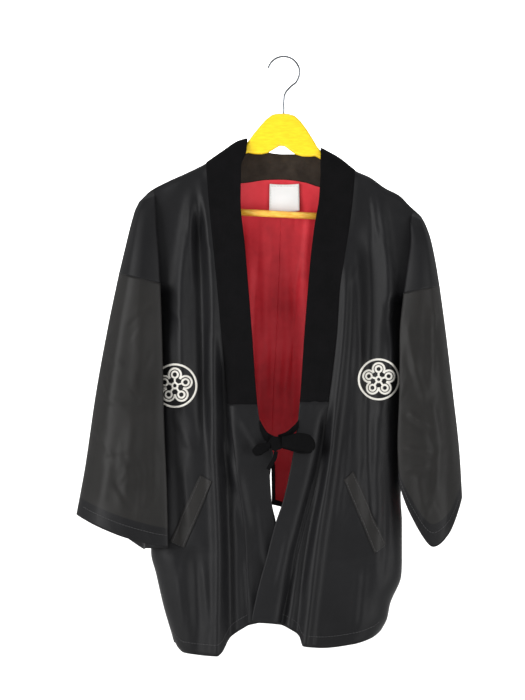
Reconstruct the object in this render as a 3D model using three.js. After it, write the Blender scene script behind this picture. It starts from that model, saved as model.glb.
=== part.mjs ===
// A hanten jacket on a wooden hanger, in millimetres, +Z up, its front facing -Y.
// The origin is the inside top of the hanger's hook. Left and right are those of someone facing the front.
import * as THREE from "three";

// Walls and gaps.
const SHELL = 1.6;
const BAND = 3;
const LINING = 1;
const LABEL = 0.8;
const RIBBON = 2;
const SEAM = 0.3;
const BAND_GAP = 0.6;
const CORNER_CLEAR = 2;
const LABEL_CLEAR = 1.6;
const NORMAL_STEP = 1e-3;

// The body hangs as a flattened tube, rounded over the hanger's arms.
const RIDGE_RADIUS = 11;
const FRONT_FALL = 30;
const BACK_FALL = 33;
const FALL_LENGTH = 320;
const SIDE_RADIUS = 45;
const COLLAR_SWELL = 3;
const LAP_DEPTH = 10;
const BACK_TUCK_Y = 12.5;
const NECK_BLEND = 40;
const VENT_FACING = 6;
const HEM_FACING = 1.97;
const LINING_CLEAR = 0.6;
const EDGE_CLEAR = 2.4;

// The hanger.
const WOOD_THICK = 16;
const WOOD_BEVEL = 4;
const WOOD_TILT = THREE.MathUtils.degToRad(2.9);
const HEAD_TOP = -90;
const BAR_Z = -252;
const BAR_DIAMETER = 11;
const BAR_HALF = 198;
const ARM_END = 221;
const WIRE = 3.5;
const HOOK_RADIUS = 25.5;

const shellCloth = { color: 0x2b2b2d, roughness: 0.5, metalness: 0 };
const velvetCloth = { color: 0x1c1b1f, roughness: 0.9, metalness: 0 };
const liningCloth = { color: 0xa0282f, roughness: 0.6, metalness: 0 };
const tapeCloth = { color: 0xe9e9ea, roughness: 0.7, metalness: 0 };
const yellowWood = { color: 0xf6d51f, roughness: 0.35, metalness: 0 };
const barWood = { color: 0xf0a030, roughness: 0.4, metalness: 0 };
const chromeWire = { color: 0xc9ccd0, roughness: 0.15, metalness: 1 };

// The ridge where the cloth turns over the hanger, from left to right.
const RIDGE = [
  { x: -240, z: -246 },
  { x: -216, z: -216 },
  { x: -187, z: -200 },
  { x: -154, z: -185 },
  { x: -126, z: -171 },
  { x: -98, z: -152 },
  { x: -70, z: -134 },
  { x: -50, z: -130 },
  { x: 50, z: -141 },
  { x: 59, z: -146 },
  { x: 88, z: -162 },
  { x: 115, z: -182 },
  { x: 139, z: -193 },
  { x: 163, z: -210 },
  { x: 186, z: -222 },
  { x: 202, z: -238 },
  { x: 222, z: -257 },
  { x: 236, z: -276 },
];

// Each half: the front's free edge, the seam of its band, the body's side and the side's depth.
const LEFT_LINES = [
  { z: -134, edge: -58, seam: -126, side: -212, sideY: -3 },
  { z: -152, edge: -60, seam: -126, side: -212, sideY: -3 },
  { z: -174, edge: -68, seam: -125, side: -212, sideY: -3 },
  { z: -230, edge: -69, seam: -121, side: -212, sideY: -3 },
  { z: -302, edge: -62, seam: -114, side: -212, sideY: -3 },
  { z: -363, edge: -57, seam: -108, side: -212, sideY: -3 },
  { z: -438, edge: -51, seam: -101, side: -207, sideY: 0 },
  { z: -558, edge: -42, seam: -90, side: -204, sideY: 3 },
  { z: -640, edge: -30, seam: -79, side: -206, sideY: 5 },
  { z: -718, edge: -19, seam: -68, side: -210, sideY: 5 },
  { z: -795, edge: -12, seam: -61, side: -213, sideY: 5 },
  { z: -829, edge: -11, seam: -60, side: -205, sideY: 5 },
  { z: -885, edge: -10, seam: -58, side: -192, sideY: 5 },
  { z: -922, edge: -10, seam: -57, side: -181, sideY: 5 },
  { z: -945, edge: -10, seam: -56, side: -174, sideY: 5 },
  { z: -965, edge: -10, seam: -56, side: -165, sideY: 5 },
];
const RIGHT_LINES = [
  { z: -134, edge: 59, seam: 116, side: 203, sideY: -3 },
  { z: -180, edge: 59, seam: 115, side: 203, sideY: -3 },
  { z: -222, edge: 57, seam: 112, side: 203, sideY: -3 },
  { z: -272, edge: 49, seam: 106, side: 203, sideY: -3 },
  { z: -322, edge: 43, seam: 98, side: 203, sideY: -3 },
  { z: -379, edge: 38, seam: 90, side: 203, sideY: -3 },
  { z: -442, edge: 33, seam: 86, side: 196, sideY: 0 },
  { z: -558, edge: 25, seam: 72, side: 192, sideY: 3 },
  { z: -634, edge: 15, seam: 62, side: 190, sideY: 5 },
  { z: -707, edge: 0, seam: 47, side: 188, sideY: 5 },
  { z: -746, edge: -13, seam: 36, side: 190, sideY: 5 },
  { z: -811, edge: -30, seam: 20, side: 190, sideY: 5 },
  { z: -832, edge: -36, seam: 14, side: 189, sideY: 5 },
  { z: -878, edge: -47, seam: 2, side: 171, sideY: 5 },
  { z: -902, edge: -51, seam: -3, side: 166, sideY: 5 },
  { z: -925, edge: -52, seam: -6, side: 154, sideY: 5 },
  { z: -960, edge: -52, seam: -8, side: 140, sideY: 5 },
];

// The hems, by how far they hang at each place.
const LEFT_HEM = [
  { x: -181, z: -922 },
  { x: -174, z: -943 },
  { x: -160, z: -955 },
  { x: -107, z: -960 },
  { x: -99, z: -954 },
  { x: -86, z: -931 },
  { x: -67, z: -917 },
  { x: -48, z: -908 },
  { x: -8, z: -905 },
];
const RIGHT_HEM = [
  { x: -51, z: -906 },
  { x: -30, z: -907 },
  { x: -6, z: -910 },
  { x: 15, z: -920 },
  { x: 24, z: -927 },
  { x: 31, z: -944 },
  { x: 61, z: -947 },
  { x: 111, z: -941 },
  { x: 142, z: -931 },
  { x: 157, z: -920 },
];
const BACK_HEM = [
  { x: -176, z: -940 },
  { x: -150, z: -947 },
  { x: -107, z: -943 },
  { x: -86, z: -924 },
  { x: -60, z: -906 },
  { x: 34, z: -925 },
  { x: 60, z: -936 },
  { x: 110, z: -934 },
  { x: 142, z: -924 },
  { x: 157, z: -914 },
];

// The back of the neck, from the left ridge at s = 0 to the right one at s = 1: the collar's folded top edge
// and its seam with the back panels.
const NECK = [
  { s: 0, topX: -58, topZ: -133, topY: 0, seamX: -125.5, seamZ: -171, seamY: 0 },
  { s: 0.03, topX: -59, topZ: -134, topY: 7, seamX: -124, seamZ: -171.5, seamY: 7 },
  { s: 0.06, topX: -58, topZ: -138, topY: 11.5, seamX: -118, seamZ: -176, seamY: 11.5 },
  { s: 0.12, topX: -50, topZ: -143, topY: 13.5, seamX: -106, seamZ: -191, seamY: 13.5 },
  { s: 0.25, topX: -36, topZ: -149, topY: 17, seamX: -70, seamZ: -203, seamY: 18 },
  { s: 0.4, topX: -14, topZ: -153.5, topY: 20.5, seamX: -26, seamZ: -197.5, seamY: 24 },
  { s: 0.5, topX: -2, topZ: -154.5, topY: 21, seamX: -2, seamZ: -197, seamY: 25 },
  { s: 0.62, topX: 20, topZ: -154.5, topY: 20, seamX: 32, seamZ: -201, seamY: 23 },
  { s: 0.78, topX: 42, topZ: -153.5, topY: 16.5, seamX: 66, seamZ: -210, seamY: 18 },
  { s: 0.9, topX: 56, topZ: -152, topY: 13, seamX: 98, seamZ: -202, seamY: 13.5 },
  { s: 0.95, topX: 61.5, topZ: -149.5, topY: 11.5, seamX: 109, seamZ: -190, seamY: 11.5 },
  { s: 0.98, topX: 61, topZ: -147, topY: 7, seamX: 114, seamZ: -183.5, seamY: 7 },
  { s: 1, topX: 60, topZ: -146.5, topY: 0, seamX: 115.5, seamZ: -182.5, seamY: 0 },
];

// The centre-back seam, and how far each edge of the open vent below it swings aside.
const CENTRE_BACK = [
  { z: -197, x: -2 },
  { z: -400, x: -10 },
  { z: -662, x: -20.5 },
  { z: -935, x: -20.5 },
];
const VENT = [
  { z: -640, left: 0, right: 0 },
  { z: -662, left: 0, right: 0.5 },
  { z: -690, left: 5, right: 1 },
  { z: -713, left: 11, right: 1.5 },
  { z: -722, left: 14, right: 17 },
  { z: -742, left: 20, right: 28 },
  { z: -800, left: 30, right: 42 },
  { z: -935, left: 40, right: 54 },
];

// The label on the back lining, the pocket welts, the tie and the hanger.
const LABEL_PLACE = { left: -22.5, right: 25, top: -202.5, bottom: -246 };
const WELT_CLEAR = 1.15;
const WELTS = {
  left: {
    outerTop: { x: -134, z: -670 },
    outerFoot: { x: -182, z: -777 },
    innerTop: { x: -114, z: -680 },
    innerFoot: { x: -159, z: -787 },
  },
  right: {
    outerTop: { x: 111, z: -664 },
    outerFoot: { x: 163, z: -781 },
    innerTop: { x: 96, z: -678 },
    innerFoot: { x: 145, z: -795 },
  },
};
const KNOT = { x: -12, y: -61, z: -619, width: 25, depth: 15, height: 23 };
const TIE_STRAP_LEFT = [
  { x: -37, y: -46.7, z: -586 },
  { x: -31, y: -48.2, z: -594 },
  { x: -24, y: -51.2, z: -607 },
  { x: -15, y: -52.5, z: -614 },
];
const TIE_STRAP_RIGHT = [
  { x: 22, y: -47.5, z: -586 },
  { x: 12, y: -48.6, z: -594 },
  { x: 0, y: -51, z: -607 },
  { x: -9, y: -52.5, z: -614 },
];
const TIE_LOOP_LEFT = [
  { x: -23.9, y: -64.5, z: -622 },
  { x: -36, y: -67, z: -628 },
  { x: -46, y: -62, z: -633 },
  { x: -37, y: -57, z: -631 },
  { x: -24.5, y: -58.5, z: -625 },
];
const TIE_LOOP_RIGHT = [
  { x: -0.2, y: -64.5, z: -616 },
  { x: 22, y: -68, z: -615 },
  { x: 44, y: -62, z: -619 },
  { x: 24, y: -57, z: -620 },
  { x: 0.3, y: -58.5, z: -619 },
];
const TIE_TAIL = [
  { x: -11, y: -60, z: -632.15 },
  { x: -14, y: -59, z: -641 },
  { x: -21, y: -57, z: -653 },
  { x: -27, y: -56, z: -664 },
];
const WOOD_OUTLINE = [
  { x: 8, z: -90 },
  { x: 18, z: -92.5 },
  { x: 28, z: -101 },
  { x: 38, z: -113 },
  { x: 48, z: -127 },
  { x: 57, z: -141 },
  { x: 66, z: -150 },
  { x: 92, z: -163.5 },
  { x: 120, z: -186 },
  { x: 148, z: -202.5 },
  { x: 181, z: -219.5 },
  { x: 205, z: -236 },
  { x: 215, z: -246 },
  { x: ARM_END - 1, z: -256 },
  { x: ARM_END - 2, z: -264 },
  { x: ARM_END - 9, z: -269 },
  { x: BAR_HALF + 4, z: -268 },
  { x: BAR_HALF, z: -262 },
  { x: BAR_HALF, z: -243 },
  { x: 180, z: -233 },
  { x: 150, z: -217 },
  { x: 115, z: -197 },
  { x: 84, z: -174 },
  { x: 66, z: -162 },
  { x: 54, z: -156 },
  { x: 44, z: -157.5 },
  { x: 33, z: -157.5 },
  { x: 22, z: -154.5 },
  { x: 12, z: -148 },
  { x: 4, z: -142.5 },
];
const HOOK_TIP = 165;
const HOOK_FOOT = -38;
const HOOK_STEM = [
  { x: 10, z: -48 },
  { x: 2.5, z: -58 },
  { x: 0, z: -70 },
];

// Folds: a line down the cloth, x at five heights, its reach, its width and how far it stands out.
const LEFT_FOLDS = [
  { x200: -131, x400: -113, x600: -112, x800: -105, x950: -107, from: -175, to: -1200, width: 9, out: 9 },
  { x200: -138, x400: -133, x600: -129, x800: -124, x950: -126, from: -215, to: -640, width: 9, out: -9 },
  { x200: -143, x400: -165, x600: -160, x800: -150, x950: -145, from: -190, to: -600, width: 11, out: 8 },
  { x200: -105, x400: -99, x600: -93, x800: -86, x950: -84, from: -440, to: -1200, width: 9, out: -11 },
  { x200: -165, x400: -175, x600: -172, x800: -165, x950: -150, from: -500, to: -820, width: 16, out: -9 },
  { x200: -150, x400: -150, x600: -150, x800: -142, x950: -138, from: -760, to: -1200, width: 10, out: -5 },
];
const RIGHT_FOLDS = [
  { x200: 104, x400: 99, x600: 79, x800: 52, x950: 34, from: -290, to: -1200, width: 9, out: 10 },
  { x200: 84, x400: 80, x600: 63, x800: 17, x950: -10, from: -540, to: -1200, width: 8, out: -12 },
  { x200: 95, x400: 90, x600: 74, x800: 33, x950: 16, from: -590, to: -1200, width: 7, out: -6 },
  { x200: 152, x400: 171, x600: 168, x800: 160, x950: 150, from: -195, to: -560, width: 10, out: 7 },
  { x200: 100, x400: 118, x600: 116, x800: 110, x950: 100, from: -260, to: -560, width: 9, out: 6 },
  { x200: 130, x400: 141, x600: 134, x800: 140, x950: 130, from: -250, to: -780, width: 12, out: -9 },
  { x200: 160, x400: 155, x600: 158, x800: 165, x950: 150, from: -620, to: -860, width: 10, out: -6 },
];
const BACK_FOLDS = [
  { x200: -60, x400: -72, x600: -76, x800: -84, x950: -84, from: -230, to: -1200, width: 14, out: 8 },
  { x200: -110, x400: -112, x600: -116, x800: -112, x950: -108, from: -260, to: -1200, width: 13, out: -8 },
  { x200: -150, x400: -158, x600: -156, x800: -150, x950: -140, from: -240, to: -1200, width: 13, out: 7 },
  { x200: -25, x400: -34, x600: -46, x800: -66, x950: -76, from: -420, to: -1200, width: 12, out: -6 },
  { x200: 40, x400: 38, x600: 30, x800: 52, x950: 62, from: -300, to: -1200, width: 13, out: -8 },
  { x200: 78, x400: 80, x600: 76, x800: 84, x950: 90, from: -230, to: -1200, width: 14, out: 9 },
  { x200: 125, x400: 122, x600: 118, x800: 124, x950: 120, from: -260, to: -1200, width: 13, out: -7 },
  { x200: 150, x400: 158, x600: 154, x800: 158, x950: 146, from: -270, to: -900, width: 12, out: 6 },
];

// The arm's cross-sections: reach f down the shoulder, or g down the sleeve. Outer and inner ends, the
// depth of the inner end, how far the cloth doubles back there, front and back depth, and the hang of the middle.
const LEFT_LEVEL = -363;
const LEFT_SHOULDER = [
  { f: 0.12, xOut: -236, zOut: -236, xIn: -206, yIn: -17, lap: 6, lapY: -12, front: 20, back: 17 },
  { f: 0.35, xOut: -245, zOut: -268, xIn: -205, yIn: -25, lap: 9, lapY: -13, front: 31, back: 25 },
  { f: 0.65, xOut: -255, zOut: -309, xIn: -201, yIn: -32, lap: 12, lapY: -17, front: 41, back: 31 },
  { f: 1, xOut: -264, zOut: -347, xIn: -198, yIn: -37, lap: 14, lapY: -20, front: 47, back: 35 },
];
const LEFT_SLEEVE = [
  { g: 0, xOut: -264, zOut: -347, xIn: -198, zIn: -363, yIn: -37, lap: 17, lapY: -20, front: 47, back: 35, sag: 0 },
  { g: 0.2, xOut: -280, zOut: -424, xIn: -195, zIn: -448, yIn: -43, lap: 22, lapY: -24, front: 53, back: 37, sag: 0 },
  { g: 0.5, xOut: -301, zOut: -540, xIn: -192, zIn: -575, yIn: -49, lap: 27, lapY: -28, front: 59, back: 41, sag: 0 },
  { g: 0.8, xOut: -318, zOut: -657, xIn: -187, zIn: -701, yIn: -53, lap: 33, lapY: -32, front: 63, back: 47, sag: 4 },
  { g: 1, xOut: -332, zOut: -734, xIn: -185, zIn: -786, yIn: -55, lap: 35, lapY: -34, front: 65, back: 51, sag: 8 },
];
const RIGHT_LEVEL = -379;
const RIGHT_SHOULDER = [
  { f: 0.12, xOut: 228, zOut: -268, xIn: 203, yIn: -17, lap: 6, lapY: -12, front: 20, back: 17 },
  { f: 0.35, xOut: 236, zOut: -292, xIn: 204, yIn: -25, lap: 9, lapY: -13, front: 31, back: 25 },
  { f: 0.65, xOut: 244, zOut: -330, xIn: 199, yIn: -32, lap: 11, lapY: -17, front: 41, back: 31 },
  { f: 1, xOut: 250, zOut: -367, xIn: 192, yIn: -37, lap: 12, lapY: -20, front: 47, back: 35 },
];
const RIGHT_SLEEVE = [
  { g: 0, xOut: 250, zOut: -367, xIn: 192, zIn: -379, yIn: -37, lap: 15, lapY: -20, front: 47, back: 35, sag: 0 },
  { g: 0.2, xOut: 259, zOut: -434, xIn: 186, zIn: -441, yIn: -43, lap: 16, lapY: -24, front: 53, back: 37, sag: 4 },
  { g: 0.5, xOut: 271, zOut: -536, xIn: 185, zIn: -532, yIn: -47, lap: 19, lapY: -26, front: 57, back: 39, sag: 18 },
  { g: 0.8, xOut: 282, zOut: -637, xIn: 182, zIn: -620, yIn: -50, lap: 20, lapY: -27, front: 60, back: 42, sag: 56 },
  { g: 1, xOut: 286, zOut: -704, xIn: 184, zIn: -679, yIn: -48, lap: 20, lapY: -26, front: 60, back: 44, sag: 92 },
];

const { clamp, lerp } = THREE.MathUtils;
const point = (x, y, z) => new THREE.Vector3(x, y, z);
const smooth = (t) => clamp(t, 0, 1) ** 2 * (3 - 2 * clamp(t, 0, 1));
const round = (t) => Math.sqrt(Math.max(0, 1 - (1 - clamp(t, 0, 1)) ** 2));
const spread = (count, from = 0, to = 1) => Array.from({ length: count + 1 }, (_, i) => lerp(from, to, i / count));

// A smooth curve through one column of a table, which never swings past its rows.
function curve(rows, key, column) {
  const keys = rows.map((row) => row[key]);
  const values = rows.map((row) => row[column]);
  const rising = keys[1] > keys[0];
  const steps = keys.slice(1).map((k, i) => k - keys[i]);
  const slopes = steps.map((step, i) => (values[i + 1] - values[i]) / step);
  const tangents = keys.map((_, i) => {
    if (i === 0) return slopes[0];
    if (i === slopes.length) return slopes[i - 1];
    const product = slopes[i - 1] * slopes[i];
    return product <= 0 ? 0 : (2 * product) / (slopes[i - 1] + slopes[i]);
  });
  return (at) => {
    let i = 0;
    while (i < steps.length - 1 && (rising ? at > keys[i + 1] : at < keys[i + 1])) i += 1;
    const t = clamp((at - keys[i]) / steps[i], 0, 1);
    const rise = t * t * (3 - 2 * t);
    const bend = steps[i] * t * (1 - t) * ((1 - t) * tangents[i] - t * tangents[i + 1]);
    return lerp(values[i], values[i + 1], rise) + bend;
  };
}

const curves = (rows, key) =>
  Object.fromEntries(Object.keys(rows[0]).map((column) => [column, curve(rows, key, column)]));

const ridge = curve(RIDGE, "x", "z");
const neck = curves(NECK, "s");
const neckSeamZ = curve(NECK, "seamX", "seamZ");
const neckSeamY = curve(NECK, "seamX", "seamY");
const centreBack = curve(CENTRE_BACK, "z", "x");
const vent = curves(VENT, "z");
const backHem = curve(BACK_HEM, "x", "z");

const FOLD_HEIGHTS = { x200: -200, x400: -400, x600: -600, x800: -800, x950: -950 };
const foldLines = (folds) =>
  folds.map((fold) => {
    const stations = Object.entries(FOLD_HEIGHTS).map(([name, z]) => ({ z, x: fold[name] }));
    return { ...fold, line: curve(stations, "z", "x") };
  });
const foldsAt = (folds, x, z) =>
  folds.reduce((sum, { line, from, to, width, out }) => {
    const near = Math.exp(-(((x - line(z)) / width) ** 2));
    return sum + out * near * smooth((from - z) / 70) * smooth((z - to) / 70);
  }, 0);
const backFolds = foldLines(BACK_FOLDS);

function makeSide(name, sign, lines, hem, folds, level, shoulder, sleeve, ridgeIn, ridgeOut) {
  return {
    name,
    sign,
    level,
    ridgeIn,
    ridgeOut,
    lines: curves(lines, "z"),
    hem: curve(hem, "x", "z"),
    folds: foldLines(folds),
    shoulder: curves(shoulder, "f"),
    sleeve: curves(sleeve, "g"),
  };
}
const LEFT = makeSide(
  "left", -1, LEFT_LINES, LEFT_HEM, LEFT_FOLDS, LEFT_LEVEL, LEFT_SHOULDER, LEFT_SLEEVE, -207, -222,
);
const RIGHT = makeSide(
  "right", 1, RIGHT_LINES, RIGHT_HEM, RIGHT_FOLDS, RIGHT_LEVEL, RIGHT_SHOULDER, RIGHT_SLEEVE, 207, 221,
);

// How far the cloth stands from the hanger's plane, drop below the ridge.
const bodyDepth = (drop, fall) =>
  RIDGE_RADIUS * round(drop / RIDGE_RADIUS) + fall * smooth(drop / FALL_LENGTH);

// Depth of the front's middle surface. Under the crossing the left front goes behind the right one.
function frontY(side, x, z) {
  const lap = side.sign < 0 ? LAP_DEPTH * smooth((-630 - z) / 90) * smooth((x + 95) / 45) : 0;
  const collar = COLLAR_SWELL * smooth((side.sign * (side.lines.seam(z) - x) + 8) / 16) * smooth((ridge(x) - z) / 20);
  return lap - collar - bodyDepth(ridge(x) - z, FRONT_FALL) - foldsAt(side.folds, x, z) * smooth((ridge(x) - z) / 30);
}

// Depth of the back's middle surface, drawn in to the collar's seam below the neck.
function backY(x, z) {
  const hung = bodyDepth(ridge(x) - z, BACK_FALL) + foldsAt(backFolds, x, z) * smooth((ridge(x) - z) / 60);
  const inNeck = smooth((x + 128) / 6) * smooth((118 - x) / 6);
  const atNeck = lerp(neckSeamY(x), hung, smooth((neckSeamZ(x) - z) / NECK_BLEND));
  return lerp(hung, atNeck, inNeck);
}

// Eight control points of the arm's ring: out, out front, front, in front, in, front tuck, back tuck, back.
const RING_POINTS = 8;
const FRONT_TUCK = 5;
const BACK_TUCK = 6;
const RING_GAP = 0.015;
function ringControls(side, s) {
  const across = (t) => ({ x: lerp(s.xOut, s.xIn, t), z: lerp(s.zOut, s.zIn, t) });
  const lapX = side.sign * s.lap;
  const at = (t, y, hang) => point(across(t).x, y, across(t).z - hang * s.sag);
  return [
    point(s.xOut, -3, s.zOut),
    at(0.2, -0.8 * s.front, 0.68),
    at(0.5, -s.front, 1),
    at(0.84, (s.yIn - s.front) / 2 - 2, 0.5),
    point(s.xIn, s.yIn, s.zIn),
    point(s.xIn + lapX, s.lapY, s.zIn - 0.2 * s.sag),
    point(s.xIn + lapX * 1.15 + side.sign * 3, BACK_TUCK_Y, s.zIn - 0.3 * s.sag),
    at(0.4, s.back, 0.85),
  ];
}

// A point of the ring at t from 0 to 8, on a closed curve through its control points.
function ringPoint(controls, t) {
  const i = Math.floor(t);
  const part = t - i;
  const [a, b, c, d] = [-1, 0, 1, 2].map((k) => controls[(i + k + RING_POINTS) % RING_POINTS]);
  const axis = (n) => {
    const [p, q, r, s] = [a, b, c, d].map((v) => v.getComponent(n));
    const turn = (r - p) * 0.45;
    const next = (s - q) * 0.45;
    const rise = part * part * (3 - 2 * part);
    return lerp(q, r, rise) + part * (1 - part) * ((1 - part) * turn - part * next);
  };
  return point(axis(0), axis(1), axis(2));
}

// The dropped shoulder: at f = 0 it lies along the ridge, at f = 1 it meets the sleeve.
function shoulderPoint(side, t, f) {
  const row = Object.fromEntries(Object.entries(side.shoulder).map(([name, read]) => [name, read(Math.max(f, 0.12))]));
  const inner = ridge(side.ridgeIn);
  row.zIn = lerp(inner, side.level, Math.max(f, 0.12));
  row.sag = 0;
  const ring = ringPoint(ringControls(side, row), t);
  const along = t <= FRONT_TUCK ? t / FRONT_TUCK : (RING_POINTS - t) / (RING_POINTS - BACK_TUCK);
  const x = lerp(side.ridgeOut, side.ridgeIn, along);
  const halfGap = t <= FRONT_TUCK ? -SEAM : SEAM;
  return point(x, halfGap, ridge(x)).lerp(ring, round(f / 0.12));
}

function sleevePoint(side, t, g) {
  const row = Object.fromEntries(Object.entries(side.sleeve).map(([name, read]) => [name, read(g)]));
  return ringPoint(ringControls(side, row), t);
}

// The body of a panel. f runs from the ridge to the armhole's level, then on to 2 at the hem;
// s runs from the band's seam, or the centre back, to the side.
function panelPoint(side, s, f, { startX, topLevel, topZ, hemZ, depth, tuck, halfGap }) {
  const end = shoulderPoint(side, tuck, clamp(f, 0, 1));
  const topX = lerp(startX(topLevel), side.ridgeIn, s);
  const upper = lerp(topZ(topX), side.level, Math.min(f, 1));
  let z = upper;
  for (let pass = 0; f > 1 && pass < 4; pass += 1) {
    const guess = lerp(startX(z), side.lines.side(z), s);
    z = lerp(side.level, hemZ(guess), f - 1);
  }
  if (f <= 1) z = lerp(z, end.z, smooth((s - 0.8) / 0.2));
  const closing = smooth((f - 1) / 0.03);
  const sideX = lerp(end.x, side.lines.side(z), closing);
  const sideY = lerp(end.y, side.lines.sideY(z) + halfGap, closing);
  const x = lerp(startX(z), sideX, s);
  const away = Math.abs(x - sideX) / SIDE_RADIUS;
  const turn = lerp(smooth(away), round(away), smooth((f - 1) / 0.2));
  const y = lerp(sideY, depth(x, z), turn);
  return point(x, halfGap < 0 ? Math.min(y, halfGap) : Math.max(y, halfGap), z);
}

const frontPanel = (side) => ({
  startX: (z) => side.lines.seam(z) + (side.sign * SEAM) / 2,
  topLevel: ridge(side.lines.seam(-150)),
  topZ: ridge,
  hemZ: side.hem,
  depth: (x, z) => frontY(side, x, z),
  tuck: FRONT_TUCK,
  halfGap: -SEAM / 2,
});
const backEdge = (side, z) => centreBack(z) + side.sign * (SEAM / 2 + (side.sign < 0 ? vent.left(z) : vent.right(z)));
const cornerDrop = (x) => CORNER_CLEAR * (1 - smooth(Math.min(x + 126, 116 - x) / 16));
const backPanel = (side) => ({
  startX: (z) => backEdge(side, z),
  topLevel: neckSeamZ(0),
  topZ: (x) => (x > -126 && x < 116 ? neckSeamZ(x) - SEAM - cornerDrop(x) : ridge(x)),
  hemZ: backHem,
  depth: backY,
  tuck: BACK_TUCK,
  halfGap: SEAM / 2,
});

// Rows, as reach f: close ones over the ridge's round, then on to the armhole's level, the velvet's end and the hem.
const PANEL_TOP_ROWS = [0, 0.01, 0.028, 0.06, 0.12, 0.24, 0.38, 0.52, 0.68, 0.84, 1];
const VELVET_END = { left: 1.352, right: 1.322 };
const FRONT_WAIST = 17;
const BACK_WAIST = 16;
const frontRows = (side) => [
  ...PANEL_TOP_ROWS,
  ...spread(5, 1, VELVET_END[side.name]).slice(1),
  ...spread(10, VELVET_END[side.name], 2).slice(1),
];
const VENT_STEP = { left: [1.645, 1.663], right: [1.612, 1.629] };
const backRows = (side) => [
  ...PANEL_TOP_ROWS,
  ...spread(8, 1, VENT_STEP[side.name][0]).slice(1),
  ...spread(5, VENT_STEP[side.name][1], 2),
];
const NECK_STATIONS = [
  0, 0.03, 0.06, 0.09, 0.12, 0.185, 0.25, 0.325, 0.4, 0.5, 0.62, 0.7, 0.78, 0.84, 0.9, 0.925, 0.95, 0.98, 1,
];
const backColumns = (side) => {
  const stations = NECK_STATIONS.filter((s) => side.sign * (s - 0.5) >= 0).map(neck.seamX);
  const inner = side.sign < 0 ? stations.reverse() : stations;
  const start = backEdge(side, neckSeamZ(0));
  const outer = spread(5, inner.at(-1), side.ridgeIn).slice(1);
  return [0, ...[...inner.slice(1), ...outer].map((x) => (x - start) / (side.ridgeIn - start))];
};
const FRONT_COLUMNS = spread(15);
const SHOULDER_COLUMNS = spread(6, FRONT_TUCK, RING_GAP).slice(1);
const BACK_SHOULDER_COLUMNS = spread(4, BACK_TUCK, RING_POINTS - RING_GAP).slice(1);
const SLEEVE_COLUMNS = spread(20, 0, RING_POINTS).slice(0, -1);
const SLEEVE_ROWS = spread(10);

function normalAt(at, u, v) {
  const across = at(u + NORMAL_STEP, v).sub(at(u - NORMAL_STEP, v));
  const down = at(u, v + NORMAL_STEP).sub(at(u, v - NORMAL_STEP));
  return across.cross(down).normalize();
}

// The flat facets that a grid gives a surface, with the normals between its points: what lies on a panel
// is made from these.
function facets(at, columns, rows) {
  const cell = (list, value) => {
    const i = clamp(list.findIndex((entry) => entry > value) - 1, 0, list.length - 2);
    const k = value >= list.at(-1) ? list.length - 2 : i;
    return [k, (value - list[k]) / (list[k + 1] - list[k])];
  };
  const between = (read) => (u, v) => {
    const [i, p] = cell(columns, u);
    const [j, q] = cell(rows, v);
    const [a, b, c, d] = [[0, 0], [1, 0], [1, 1], [0, 1]].map(([m, n]) => read(columns[i + m], rows[j + n]));
    if (p >= q) return a.clone().addScaledVector(b.clone().sub(a), p).addScaledVector(c.clone().sub(b), q);
    return a.clone().addScaledVector(d.clone().sub(a), q).addScaledVector(c.clone().sub(d), p);
  };
  return { at: between(at), normal: between((u, v) => normalAt(at, u, v)) };
}

// A cloth wall. at(i, j) gives a point of its middle surface and lift moves it outward from that;
// keep(i, j) says which cells are cloth, loop joins the last column to the first, and square(i, j) names the
// edge points that meet a neighbour across Y, whose wall stands square to that seam.
function wall(at, columns, rows, thick, options = {}) {
  const { keep = () => true, loop = false, square = () => false, lift = 0 } = options;
  const normalOf = options.normal ?? ((u, v) => normalAt(at, u, v));
  const positions = [];
  const index = [];
  const corner = (i, j, face) => 2 * (j * columns.length + (i % columns.length)) + face;
  rows.forEach((v, j) =>
    columns.forEach((u, i) => {
      const normal = normalOf(u, v);
      if (square(i, j)) normal.setY(0);
      normal.normalize();
      const middle = at(u, v).addScaledVector(normal, typeof lift === "function" ? lift(u, v) : lift);
      [0.5, -0.5].forEach((part) => positions.push(...middle.clone().addScaledVector(normal, part * thick)));
    }),
  );
  const cells = columns.length - (loop ? 0 : 1);
  const filled = (i, j) => {
    const column = loop ? (i + cells) % cells : i;
    return column >= 0 && column < cells && j >= 0 && j < rows.length - 1 && keep(column, j);
  };
  const edge = (p, q) => index.push(q, p, p + 1, q, p + 1, q + 1);
  for (let j = 0; j < rows.length - 1; j += 1) {
    for (let i = 0; i < cells; i += 1) {
      if (!filled(i, j)) continue;
      const [a, b, c, d] = [corner(i, j, 0), corner(i + 1, j, 0), corner(i + 1, j + 1, 0), corner(i, j + 1, 0)];
      index.push(a, b, c, a, c, d);
      index.push(a + 1, c + 1, b + 1, a + 1, d + 1, c + 1);
      if (!filled(i, j - 1)) edge(a, b);
      if (!filled(i + 1, j)) edge(b, c);
      if (!filled(i, j + 1)) edge(c, d);
      if (!filled(i - 1, j)) edge(d, a);
    }
  }
  return new THREE.BufferGeometry()
    .setAttribute("position", new THREE.Float32BufferAttribute(positions, 3))
    .setIndex(index);
}

const group = new THREE.Group();
function add(name, geometry, finish, parent = group) {
  const mesh = new THREE.Mesh(geometry, new THREE.MeshStandardMaterial(finish));
  mesh.name = name;
  parent.add(mesh);
  return mesh;
}

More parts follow.
